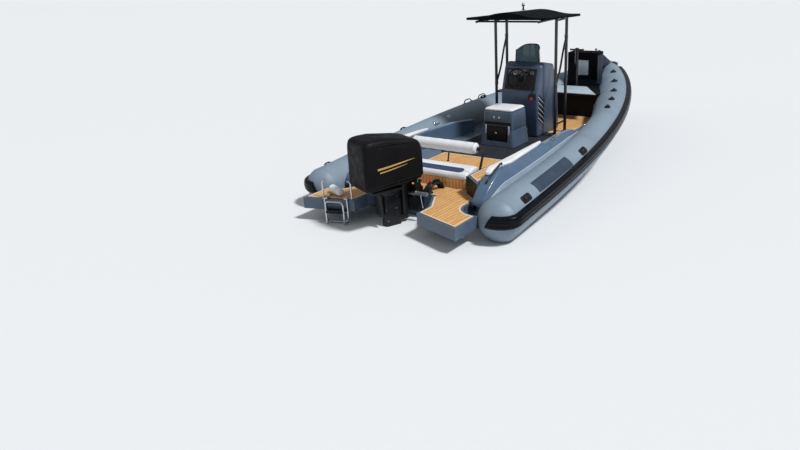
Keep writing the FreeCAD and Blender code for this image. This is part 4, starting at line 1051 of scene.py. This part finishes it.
# Windscreen: a half cone of smoked acrylic with a dark edge.
SCREEN_RADIUS, SCREEN_Y, SCREEN_Z, SCREEN_INNER = 0.212, 3.185, 1.555, 0.972
pane, edge = Kit(), Kit()
rows = []
for share in np.linspace(0, 1, 18):
    slim = SCREEN_RADIUS - 0.014 * share
    row = []
    for turn in np.linspace(180, 0, 48):
        a = math.radians(turn)
        tall = 0.235 + 0.075 * (1 - abs(math.cos(a)) ** 4)
        row.append((slim * math.cos(a), SCREEN_Y + slim * math.sin(a), SCREEN_Z + share * tall))
    rows.append(row)
inner = [[(x * SCREEN_INNER, SCREEN_Y + (y - SCREEN_Y) * SCREEN_INNER, z) for x, y, z in row] for row in rows]
pane.grid([list(a) + list(b)[::-1] for a, b in zip(rows, inner)], True, False, True)
pane.make("windscreen_pane", "smoked_glass", replaces=["windscreen"], sharp=50)
for line in (rows[-1], [row[0] for row in rows], [row[-1] for row in rows]):
    edge.sweep(line, 0.0075, 0.01, steps=1)
edge.make("windscreen_edge", "black_plastic")

# ---------------------------------------------------------------- hard top
HALF, TOP_Z, TOP_AFT, TOP_LONG, THICK, CROWN, ARCH = 0.72, 2.32, 2.47, 1.18, 0.034, 0.075, 0.56
ROOF_LIFT, ROOF_SLOPE, ROOF_CORNER, POST_X = 0.015, -0.047, 0.09, 0.54


def roof_top(x):
    return THICK + CROWN * (0.5 + 0.5 * math.cos(math.pi * min(abs(x) / ARCH, 1.0)))


def roof_half(y):
    """Half width with round corners in plan."""
    near = max(0.0, abs(y - (TOP_AFT + TOP_LONG / 2)) - (TOP_LONG / 2 - ROOF_CORNER))
    return HALF - ROOF_CORNER + math.sqrt(max(ROOF_CORNER ** 2 - near ** 2, 0.0))


canopy, rows, EDGE_TURNS = Kit(), [], [math.pi * k / 5 for k in range(1, 5)]
for y in np.concatenate([TOP_AFT + ROOF_CORNER * (1 - np.cos(np.linspace(0, math.pi / 2, 8))),
        np.linspace(TOP_AFT + 0.12, TOP_AFT + TOP_LONG - 0.12, 24),
        TOP_AFT + TOP_LONG - ROOF_CORNER + ROOF_CORNER * np.sin(np.linspace(0, math.pi / 2, 8))]):
    half = roof_half(y)
    row = []
    for x in np.linspace(-1, 1, 61):
        row.append((x * half, y, TOP_Z + roof_top(x * half)))
    for t in EDGE_TURNS:
        row.append((half + 0.004 * math.sin(t), y, TOP_Z + THICK / 2 + THICK / 2 * math.cos(t)))
    row += [(x * half, y, TOP_Z) for x in np.linspace(1, -1, 21)]
    for t in EDGE_TURNS:
        row.append((-half - 0.004 * math.sin(t), y, TOP_Z + THICK / 2 - THICK / 2 * math.cos(t)))
    tilt = ROOF_LIFT + ROOF_SLOPE * (y - TOP_AFT)
    rows.append([(px, py, pz + tilt) for px, py, pz in row])
canopy.grid(rows, True, False, True)
canopy.make("hard_top_skin", "black_fabric", replaces=["t_top_canopy"], sharp=45)
lamps, hoods = Kit(), Kit()
for x, y, r in ((-0.4, 2.98, 60), (0.33, 2.83, 30), (0.42, 3.03, 34), (0.62, 3.25, 22)):
    low = TOP_Z + ROOF_LIFT + ROOF_SLOPE * (y - TOP_AFT)
    hoods.lathe((x, y, low - 0.014), UP, [(r, 0), (r * 1.25, 2), (r * 1.25, 14), (r * 1.1, 16)], 32)
    lamps.lathe((x, y, low - 0.0155), UP, [(1, 0), (r * 0.7, 0.8), (r * 0.98, 4), (r * 0.98, 12)], 32)
hoods.make("lamp_rings", "chrome_fitting")
lamps.make("roof_lamps", "white_plastic")

posts = Kit()
for side in (-1, 1):
    for y in (3.12, 3.48):
        posts.lathe((side * POST_X, y, MAT_Z), UP, [(52, 0), (52, 6), (44, 10), (29, 12), (27, 30),
            (24.5, 34)], 36)
        posts.lathe((side * POST_X, y, TOP_Z - 0.045), UP, [(25, 0), (30, 4), (30, 30), (44, 38), (44, 44.5)],
            36)
    posts.sweep([(side * POST_X, 3.475, 1.98), (side * POST_X, 3.37, 1.77), (side * POST_X, 3.27, 1.48),
        (side * POST_X, 3.125, 1.25)], 0.016, 0.25, steps=10)
    for y, z in ((3.475, 1.98), (3.125, 1.25)):
        posts.lathe((side * POST_X, y, z - 0.03), UP, [(25.5, 0), (28.5, 4), (28.5, 56), (25.5, 60)], 30)
posts.make("post_clamps", "black_tube")

# ---------------------------------------------------------------- engine
ENGINE_Y, ENGINE_TURN = -0.24, -22
ENGINE = Matrix.Translation((0, ENGINE_Y, 0)) @ Matrix.Rotation(math.radians(ENGINE_TURN), 4, "Z")
COWL_LOW, COWL_TALL, COWL_TIP, COWL_AFT = 0.59, 0.656, math.tan(math.radians(4.33)), -0.67
# Columns: share of the height, half width, after end, front end, corner.
COVER = [(0.0, 0.24, -0.64, 0.172, 0.062), (0.025, 0.258, -0.66, 0.184, 0.066),
    (0.1, 0.268, -0.671, 0.19, 0.07), (0.35, 0.2685, -0.672, 0.189, 0.072),
    (0.58, 0.268, -0.671, 0.184, 0.075), (0.75, 0.266, -0.669, 0.175, 0.08),
    (0.86, 0.262, -0.665, 0.16, 0.086), (0.92, 0.255, -0.656, 0.14, 0.092),
    (0.96, 0.24, -0.638, 0.108, 0.098), (0.985, 0.212, -0.604, 0.06, 0.102),
    (0.997, 0.165, -0.545, -0.01, 0.098), (1.0, 0.1, -0.45, -0.12, 0.07)]
COVER_SLOPE, COVER_SLOPE_Y = 0.16, -0.38


def cover_ring(share):
    """One level of the engine's cover, in the engine's own frame."""
    half, aft, front, corner = (float(np.interp(share, [r[0] for r in COVER],
        [r[c] for r in COVER])) for c in (1, 2, 3, 4))
    path = rounded_path([(-half, aft, 0), (half, aft, 0), (half, front, 0), (-half, front, 0)], corner, 10,
        True)
    loop = np.vstack([path, path[:1]])
    run = np.concatenate([[0], np.cumsum(np.linalg.norm(np.diff(loop, axis=0), axis=1))])
    ring = []
    for s in np.linspace(0, run[-1], 120, endpoint=False):
        x, y = np.interp(s, run, loop[:, 0]), np.interp(s, run, loop[:, 1])
        level = COWL_LOW + COWL_TALL * share + (y - COWL_AFT) * COWL_TIP * max(0.0, 1 - share * 1.3)
        level -= COVER_SLOPE * max(0.0, y - COVER_SLOPE_Y) * min(max((share - 0.5) / 0.5, 0.0), 1.0) ** 2
        ring.append(np.array((x, y, level)))
    return ring


def cover_dent(x, y, share):
    """How far the cloth stands in or out: hollows along the sides, folds near the hem and corners."""
    fold = noise.noise(Vector((x * 5, y * 3.2, share * 3))) * 0.0035 + noise.noise(Vector((x * 13, y * 9,
        share * 4 + 7))) * 0.0016
    hollow = -0.014 * math.exp(-((share - 0.865) / 0.045) ** 2) * (1 / (1 + math.exp((abs(y + 0.16)
        - 0.2) * 60)))
    slot = -0.011 * math.exp(-((share - 0.845) / 0.012) ** 2) * (1 / (1 + math.exp((abs(y + 0.5)
        - 0.12) * 90)))
    gather = 0.0022 * math.sin(90 * (x + y)) * math.exp(-share / 0.035)
    return fold + hollow + slot + gather


cover = Kit()
rows = []
shares = list(np.linspace(0, 0.9, 64)) + list(0.9 + 0.1 * np.sin(np.linspace(0.06, math.pi / 2, 22)))
for share in shares:
    ring = cover_ring(share)
    middle = np.mean(ring, axis=0)
    row = []
    for p in ring:
        away = unit((p - middle) * (1, 1, 0))
        row.append(p + away * cover_dent(p[0], p[1], share) * (1 - share ** 8))
    rows.append(row)
for k in (0.8, 0.5, 0.2):
    middle = np.mean(rows[-1], axis=0)
    rows.append([middle + (p - middle) * k + np.array((0, 0, 0.0015 * (1 - k))) for p in rows[len(shares)
        - 1]])
inside = [[p * (0.95, 0.95, 1) + np.array((0, -0.012, 0.004)) for p in rows[0]]]
cover.grid(inside + rows, True, False, True)
cover.make("engine_cover_cloth", "engine_cover", "engine", "engine_cover", 50, ["engine_cowl"], ENGINE)
hem = Kit()
# Columns: share of the height, how far out, how far down, radius.
for share, out, down, radius in ((0, 0.001, 0.002, 0.0065), (0.075, 0.0035, 0, 0.0022),
        (0.9, 0.002, 0, 0.0028)):
    hem.sweep([p + unit(p - np.array((0, ENGINE_Y, p[2]))) * out - np.array((0, 0, down))
        for p in cover_ring(share)[::2]], radius, 0.002, closed=True, steps=1)
hem.make("engine_cover_piping", "black_rubber", "engine", "engine_cover", matrix=ENGINE)


def cover_side(side, y, z):
    """A point on the cover's flat side, from its place and height."""
    share = (z - COWL_LOW - (y - COWL_AFT) * COWL_TIP * 0.6) / COWL_TALL
    share = min(max(share, 0.0), 1.0)
    half = float(np.interp(share, [r[0] for r in COVER], [r[1] for r in COVER]))
    return np.array((side * (half + cover_dent(side * half, y, share) + 0.0022), y, z))


stripes = Kit()
# Columns: after end, its height, front end, its height, width.
for y0, z0, y1, z1, wide in ((-0.5, 0.872, 0.045, 0.93, 0.024), (-0.47, 0.826, -0.06, 0.876, 0.015)):
    for side in (1, -1):
        rows = [[], []]
        for t in np.linspace(0, 1, 50):
            y, z = y0 + (y1 - y0) * t, z0 + (z1 - z0) * t ** 1.25
            half = wide / 2 * (1 - t ** 2.2) ** 0.8 + 0.0006
            rows[0].append(cover_side(side, y, z - half))
            rows[1].append(cover_side(side, y, z + half))
        stripes.grid(rows)
stripes.make("cover_stripes", "gold_print", "engine", "engine_cover", matrix=ENGINE)

# Bolts, anode and fairings on the leg, in the engine's own frame.
bolts, metal = Kit(), Kit()
for side in (-1, 1):
    for y, z, x in ((-0.3, 0.4, 0.062), (-0.15, 0.4, 0.07), (-0.3, 0.24, 0.06), (-0.16, 0.24, 0.064),
            (-0.29, 0.08, 0.056), (-0.29, -0.02, 0.054), (-0.13, -0.02, 0.054)):
        bolts.lathe((side * (x - 0.004), y, z), (side, 0, 0), [(12, 0), (12, 6), (8, 8), (8, 13), (1, 14)],
            12)
bolts.make("leg_bolts", "stainless", "engine", "engine_metal", matrix=ENGINE)
metal.box((-0.2, -0.56, 0.52), (0.2, -0.1, 0.56), 0.012)
metal.box((-0.085, -0.395, 0.15), (0.085, -0.355, 0.47), 0.018)
for side in (-1, 1):
    metal.sweep([(side * 0.07, -0.32, 0.46), (side * 0.074, -0.3, 0.2), (side * 0.06, -0.26, 0.02)], 0.009,
        0.08)
metal.make("leg_fairings", "engine_metal", "engine", "engine_metal", matrix=ENGINE)

# Steering cylinder and tilt rams, on the swivel bracket.
ram, rod = Kit(), Kit()
ram.lathe((0.15, -0.172, 0.4), ACROSS, [(18, 0), (30, 2), (30, 16), (26.5, 20), (26.5, 170), (30, 174),
    (30, 190), (14, 193)], 40)
ram.box((-0.06, -0.2, 0.372), (0.16, -0.15, 0.392), 0.006)
ram.make("steering_ram", "ram_grey", "swivel", "engine_metal")
rod.lathe((-0.17, -0.172, 0.4), ACROSS, [(8, 0), (9.5, 2), (9.5, 330)], 24)
rod.sweep([(0.235, -0.172, 0.38), (0.246, -0.172, 0.3), (0.262, -0.172, 0.215)], 0.011, 0.04)
rod.lathe((0.262, -0.172, 0.205), UP, [(16, 0), (16, 20), (10, 24)], 20)
rod.make("steering_rod", "stainless", "swivel", "engine_metal")
clamp = Kit()
for x in (-0.088, 0.088):
    clamp.lathe((x, -0.001, 0.4), (0, 1, 0), [(16, 0), (16, 8), (11, 10), (11, 20), (1, 21)], 6)
    clamp.lathe((x, -0.001, 0.16), (0, 1, 0), [(16, 0), (16, 0), (11, 0.5), (1, 0.8)], 6)
for x in (-0.142, 0.142):
    clamp.lathe((x, -0.095, 0.55), (1 if x > 0 else -1, 0, 0), [(26, 0), (26, 10), (18, 14), (18, 22),
        (1, 23)], 24)
clamp.make("clamp_bolts", "stainless", "hull", "engine_metal")

# Hoses and looms from the deck to the bracket, with a loop of hose beside them.
hose, tags = Kit(), Kit()
for x, r, high in ((0.165, 0.016, 0.455), (0.205, 0.02, 0.475), (0.245, 0.015, 0.45)):
    hose.sweep([(x + 0.03, 0.3, 0.345), (x + 0.03, 0.25, high), (x, 0.12, high), (x - 0.012, 0.045, 0.395),
        (x - 0.03, 0.006, 0.345)], r, 0.09, steps=12)
for i in range(16):
    t = i / 15
    hose.lathe((0.235 - 0.004 * t, 0.232 - 0.1 * t, 0.462 + 0.01 * math.sin(math.pi * t)), (0, 1, 0),
        [(24, 0), (26.5, 1.5), (26.5, 3.5), (24, 5)], 20)
hose.lathe((0.215, 0.045, 0.343), UP, [(55, 0), (55, 8), (40, 18), (30, 45), (22, 60)], 32)
hose.make("rigging_hoses", "black_rubber", "hull", "strake_rubber")
tags.lathe((0.193, 0.125, 0.484), (0.1, -0.5, 1), [(22, 0), (22, 8), (14, 12), (1, 13)], 24)
tags.make("hose_cap", "signal_red", "hull", "strake_rubber")
fit = Kit()
fit.lathe((0.975, -0.062, 0.262), UP, [(40, 0), (44, 4), (44, 60), (38, 66), (1, 67)], 32)
fit.mirror().make("stern_fitting_bodies", "black_rubber", "hull", "strake_rubber")
dot = Kit()
dot.lathe((0.975, -0.062, 0.327), UP, [(18, 0), (18, 4), (12, 8), (1, 9)], 24)
dot.mirror().make("stern_fitting_caps", "chrome_fitting", "hull")

# ---------------------------------------------------------------- boarding ladder
# The platform's after edge runs aslant: how far aft it goes over its length across.
EDGE_AFT, EDGE_LONG, LADDER_X, RAIL_X, FOLD_X, DECK_TOP = 0.23, 0.73, -0.77, 0.165, 0.13, 0.3435
LADDER = Matrix.Translation((LADDER_X, -0.66 - EDGE_AFT * 0.25 / EDGE_LONG,
    0)) @ Matrix.Rotation(math.atan2(EDGE_AFT, EDGE_LONG), 4, "Z")
upper, lower, grip, tread = Kit(), Kit(), Kit(), Kit()
for kit, x, y, near, far in ((upper, RAIL_X, -0.024, 0.358, 0.028), (lower, FOLD_X, -0.084, 0.028, 0.328)):
    kit.sweep([(-x, y, near), (-x, y, far), (x, y, far), (x, y, near)], 0.013, 0.06, steps=10)
for side in (-1, 1):
    upper.lathe((side * RAIL_X - 0.016, -0.024, 0.358), ACROSS, [(19, 0), (19, 32)], 24)
    upper.box((side * 0.1433 - 0.003, -0.096, 0.016), (side * 0.1433 + 0.003, -0.014, 0.04), 0.001)
    lower.lathe((side * FOLD_X - 0.01, -0.084, 0.028), ACROSS, [(18, 0), (18, 20)], 24)
upper.make("ladder_upper_hoop", "stainless", "ladder_upper", "stainless", replaces=["ladder_upper"],
    matrix=LADDER)
lower.make("ladder_lower_hoop", "stainless", "ladder_lower", "stainless", replaces=["ladder_lower"],
    matrix=LADDER)
for kit, y, z, reach, body, name in ((tread, -0.034, 0.193, 0.158, "ladder_upper", "ladder_upper_tread"),
        (Kit(), -0.094, 0.178, 0.123, "ladder_lower", "ladder_lower_tread")):
    kit.box((-reach, y - 0.02, z - 0.011), (reach, y + 0.02, z + 0.011), 0.006)
    for i in range(9):
        x = -reach * 0.85 + reach * 1.7 * i / 8
        kit.box((x - 0.006, y - 0.017, z + 0.01), (x + 0.006, y + 0.017, z + 0.0135), 0.001)
    kit.make(name, "black_rubber", body, "stainless", matrix=LADDER)
for side in (-1, 1):
    x = side * 0.21
    grip.sweep([(x, 0.04, DECK_TOP), (x, 0.04, 0.56), (x - side * 0.018, 0.04, 0.585),
        (x - side * 0.05, 0.04, 0.585)], 0.013, 0.03)
    grip.lathe((x, 0.04, DECK_TOP), UP, [(28, 0), (28, 4), (22, 7), (14, 9)], 28)
    grip.box((side * 0.1367 - 0.015, -0.034, DECK_TOP), (side * 0.1367 + 0.015, 0.066, 0.3695), 0.005)
    for y in (0.0, 0.045):
        grip.lathe((side * 0.1367, y, 0.369), UP, [(8, 0), (8, 3), (1, 4)], 16)
grip.make("ladder_handles", "stainless", "hull", "stainless", replaces=["ladder_hinges"], matrix=LADDER)
fender = Kit()
ends = [(10, 150), (30, 147), (49, 136), (56, 115)]
profile = [(r, -x) for r, x in ends]
profile += [(56 + 1.2 * math.sin(i * 1.7), -100 + i * 20) for i in range(11)] + ends[::-1]
fender.lathe((-0.9, -0.59, 0.402), (0.94, -0.34, 0.0), profile, 40)
fender_obj = fender.make("rolled_pad", "upholstery", "hull", "upholstery")
puff(fender_obj, 0.003, 0.006, 2.0)
strap = Kit()
strap.sweep([(-0.94, -0.64, 0.3475), (-0.955, -0.69, 0.3475), (-0.975, -0.752, 0.3475)],
    flat_section(0.026, 0.003), 0.03, (0, 0, 1))
strap.make("ladder_strap", "black_rubber", "hull", "strake_rubber")

# ---------------------------------------------------------------- bow
post = Kit()
post.lathe((0, 5.07, 0.85), UP, [(70, 0), (70, 8), (60, 14), (36, 18), (32.5, 30), (32.5, 690), (36, 700),
    (36, 716), (20, 722), (1, 724)], 36)
post.lathe((-0.13, 5.07, 1.54), ACROSS, [(16, 0), (19, 4), (19, 18), (14.5, 22), (14.5, 238), (19, 242),
    (19, 256), (16, 260)], 30)
post.make("tow_post_skin", "black_tube", "hull", "black_tube", replaces=["tow_post"])
bag = Kit()
bag.box((-0.15, 5.035, 0.864), (0.02, 5.105, 1.29), 0.022)
bag.make("post_bag", "black_fabric", "hull", "black_fabric")


def inner_edge(y, z):
    centre = tube_centre(y)
    reach = tube_radius(y) ** 2 - (z - centre[2]) ** 2
    return centre[0] - math.sqrt(max(reach, 0.0))


a, b = (inner_edge(y, tube_centre(y)[2]) - 0.06 - BOW_SWELL for y in (4.33, 4.96))
BOW_LID = [(-a, 4.33), (a, 4.33), (b, 4.96), (-b, 4.96)]
# Painted shade: the lid pad and its piping are black round the pale board, standing for the shade beside it.
soft_pad("bow_lid_pad", BOW_LID, 0.03, 0.8515, 0.896, 0.005, 0.01, "black_fabric", "bow_lid", ["bow_lid"],
    0.003, 0.012)
board = Kit()
board.prism([(-0.7, 4.336), (0.7, 4.336), (0.27, 4.945), (-0.27, 4.945)], 2, 0.89, 0.9065, 0.005)
board.make("bow_lid_board", "bow_board", "bow_lid", "upholstery")
piping("bow_lid_piping", BOW_LID, 0.03, 0.868, 0.004, "black_rubber", "bow_lid", 0.001)


# The foredeck lies low between the tubes, then rises over the nose where they meet.
# Columns: place along the boat, least half width, share of the tube's radius at the edge and at the middle.
FOREDECK = [(5.325, 0.0, 0.5, 0.62), (5.75, 0.0, 0.52, 0.68), (6.15, 0.1, 0.58, 0.76),
    (6.35, 0.15, 0.74, 0.9), (6.5, 0.16, 0.86, 0.98), (6.66, 0.135, 0.84, 0.96), (6.8, 0.1, 0.74, 0.88),
    (6.878, 0.06, 0.6, 0.8)]


def foredeck_row(y):
    least, edge, middle = (float(np.interp(y, [r[0] for r in FOREDECK],
        [r[c] for r in FOREDECK])) for c in (1, 2, 3))
    near = min(y, FRONT_Y)
    centre, radius = tube_centre(near), tube_radius(near)
    half = max(centre[0] * 0.97, least)
    low = centre[2] - float(np.interp(y, (5.325, 6.2, 6.878), (0.28, 0.14, -0.02)))
    row = [(x * half, y,
        centre[2] + radius * (edge + (middle - edge) * (1 - abs(x) ** 2.4))) for x in np.linspace(-1, 1, 31)]
    return row + [(half, y, low), (0, y, low - 0.01), (-half, y, low)]


deck = Kit()
deck.grid([foredeck_row(y) for y in np.linspace(5.325, 6.878, 60)], True, False, True)
deck.prism([(5.865, 1.08), (5.885, 1.3), (5.925, 1.372), (6.02, 1.35), (6.43, 1.15), (6.47, 1.06)], 0, -0.085,
    0.085, 0.016)
for low, high in (((-0.29, 5.38, 0.9), (0.29, 5.583, 1.448)), ((-0.29, 5.334, 0.9), (-0.121, 5.384, 1.448)),
        ((0.121, 5.334, 0.9), (0.29, 5.384, 1.448)), ((-0.122, 5.334, 1.324), (0.122, 5.384, 1.448)),
        ((-0.122, 5.334, 0.9), (0.122, 5.384, 1.026))):
    deck.box(low, high, 0.003)
# The foredeck's dark navy is the nose's own colour, deepened over the whole deck as painted shade.
deck.make("foredeck_skin", "foredeck_navy_and_shade", slot="hull_gelcoat", replaces=["bow_foredeck"], sharp=40)
# Black panels frame the hatch on the locker's after face and cap its top; on the after face their black is
# painted shade.
locker = Kit()
# Columns: left, low, right, high, bevel. Together they frame the hatch.
for left, low, right, high, bevel in ((-0.294, 0.965, -0.119, 1.452, 0.008),
        (0.139, 0.965, 0.294, 1.452, 0.008), (-0.121, 1.324, 0.141, 1.452, 0.004),
        (-0.121, 0.965, 0.141, 1.026, 0.004)):
    locker.box((left, 5.3205, low), (right, 5.34, high), bevel)
locker.box((-0.296, 5.334, 1.395), (0.296, 5.585, 1.456), 0.02)
locker.make("bow_locker_shade_cover", "black_fabric", "hull", "black_fabric")
door = Kit()
door.box((-0.108, 5.316, 1.037), (0.1145, 5.35, 1.313), 0.014)
door.make("bow_hatch_skin", "hatch_grey", "bow_hatch", "white_plastic", replaces=["bow_hatch"])
ring = Kit()
ring.sweep([(-0.098, 5.3155, 1.047), (0.104, 5.3155, 1.047), (0.104, 5.3155, 1.303), (-0.098, 5.3155, 1.303)],
    flat_section(0.006, 0.003), 0.02, (0, 1, 0), True)
ring.lathe((-0.082, 5.314, 1.175), (0, -1, 0), [(14, 0), (14, 4), (9, 7), (1, 8)], 24)
ring.make("hatch_trim", "chrome_fitting", "bow_hatch")
bow = Kit()
bow.lathe((-0.055, 6.56, 1.095), ACROSS, [(20, 0), (30, 6), (22, 55), (30, 104), (20, 110)], 30)
for y, high in ((5.93, 1.362), (6.08, 1.312)):
    bow.lathe((0, y, high), UP, [(16, 0), (20, 4), (20, 50), (30, 58), (30, 72), (16, 82), (1, 84)], 24)
bow.make("bow_rollers", "stainless", "hull", "stainless")
cleat = Kit()
for x, y in ((0.17, 5.86), (-0.17, 5.86), (1.045, 2.05), (-1.045, 2.05)):
    z = max(p[2] for p in foredeck_row(y)) - 0.012 if abs(x) < 0.5 else 0.697
    cleat.sweep([(x, y - 0.085, z + 0.04), (x, y - 0.045, z + 0.034), (x, y + 0.045, z + 0.034),
        (x, y + 0.085, z + 0.04)], 0.009, 0.04)
    for s in (-0.03, 0.03):
        cleat.lathe((x, y + s, z), UP, [(17, 0), (13, 6), (9, 14), (9, 34)], 20)
cleat.make("deck_cleats", "stainless", "hull", "stainless")
light = Kit()
top = TOP_Z + THICK + CROWN - 0.002
light.lathe((0, TOP_AFT + TOP_LONG / 2, top), UP, [(30, 0), (30, 6), (14, 10), (12, 60), (26, 66), (26, 80)],
    30)
light.make("mast_stem_skin", "black_plastic", "hull", "white_plastic")
lens = Kit()
lens.lathe((0, TOP_AFT + TOP_LONG / 2, top + 0.078), UP, [(24, 0), (24, 30), (18, 40), (1, 44)], 30)
lens.make("mast_lens", "white_plastic", "hull", "white_plastic", replaces=["mast_light"])

# ---------------------------------------------------------------- stage, light and camera
floor_mesh = bpy.data.meshes.new("stage_floor")
FLOOR_HALF = 250
floor_mesh.from_pydata([(x * FLOOR_HALF, y * FLOOR_HALF, 0) for x, y in ((-1, -1), (1, -1), (1, 1), (-1, 1))],
    [], [(0, 1, 2, 3)])
floor = bpy.data.objects.new("stage_floor", floor_mesh)
bpy.context.scene.collection.objects.link(floor)
t = Tree("stage_floor")
floor_mesh.materials.append(t.finish(lin(226, 228, 230), 0.9, 0.0, 0.0))

world = bpy.data.worlds.new("studio")
bpy.context.scene.world = world
world.use_nodes = True
sky = world.node_tree.nodes["Background"].inputs
sky[0].default_value, sky[1].default_value = (0.93, 0.96, 1.0, 1), 0.32


def lamp(name, energy, direction, size):
    data = bpy.data.lights.new(name, "SUN")
    data.energy = energy
    data.angle = math.radians(size)
    obj = bpy.data.objects.new(name, data)
    obj.rotation_euler = Vector(direction).to_track_quat("Z", "Y").to_euler()
    bpy.context.scene.collection.objects.link(obj)


lamp("key", 3.0, (0.56, 0.02, 0.83), 8)
lamp("fill", 0.2, (-0.7, -0.6, 0.5), 40)

# The camera that was fitted to the photograph: metres, degrees and pixels.
SENSOR, PHOTO_WIDE = 36.0, 800.0
CAMERA = {"place": (5.629, -7.275, 3.391), "yaw": 39.153, "pitch": 20.953, "roll": -3.886, "focal": 710.024}


def camera():
    yaw, pitch, roll = (math.radians(CAMERA[k]) for k in ("yaw", "pitch", "roll"))
    ahead = Vector((-math.sin(yaw) * math.cos(pitch), math.cos(yaw) * math.cos(pitch), -math.sin(pitch)))
    right = Vector((math.cos(yaw), math.sin(yaw), 0))
    up = right.cross(ahead)
    across = right * math.cos(roll) + up * math.sin(roll)
    above = up * math.cos(roll) - right * math.sin(roll)
    data = bpy.data.cameras.new("camera")
    data.sensor_width = SENSOR
    data.lens = CAMERA["focal"] * SENSOR / PHOTO_WIDE
    obj = bpy.data.objects.new("camera", data)
    turn = Matrix((across, above, -ahead)).transposed()
    obj.matrix_world = Matrix.Translation(CAMERA["place"]) @ turn.to_4x4()
    bpy.context.scene.collection.objects.link(obj)
    bpy.context.scene.camera = obj


camera()
bpy.context.scene.view_settings.view_transform = "Standard"
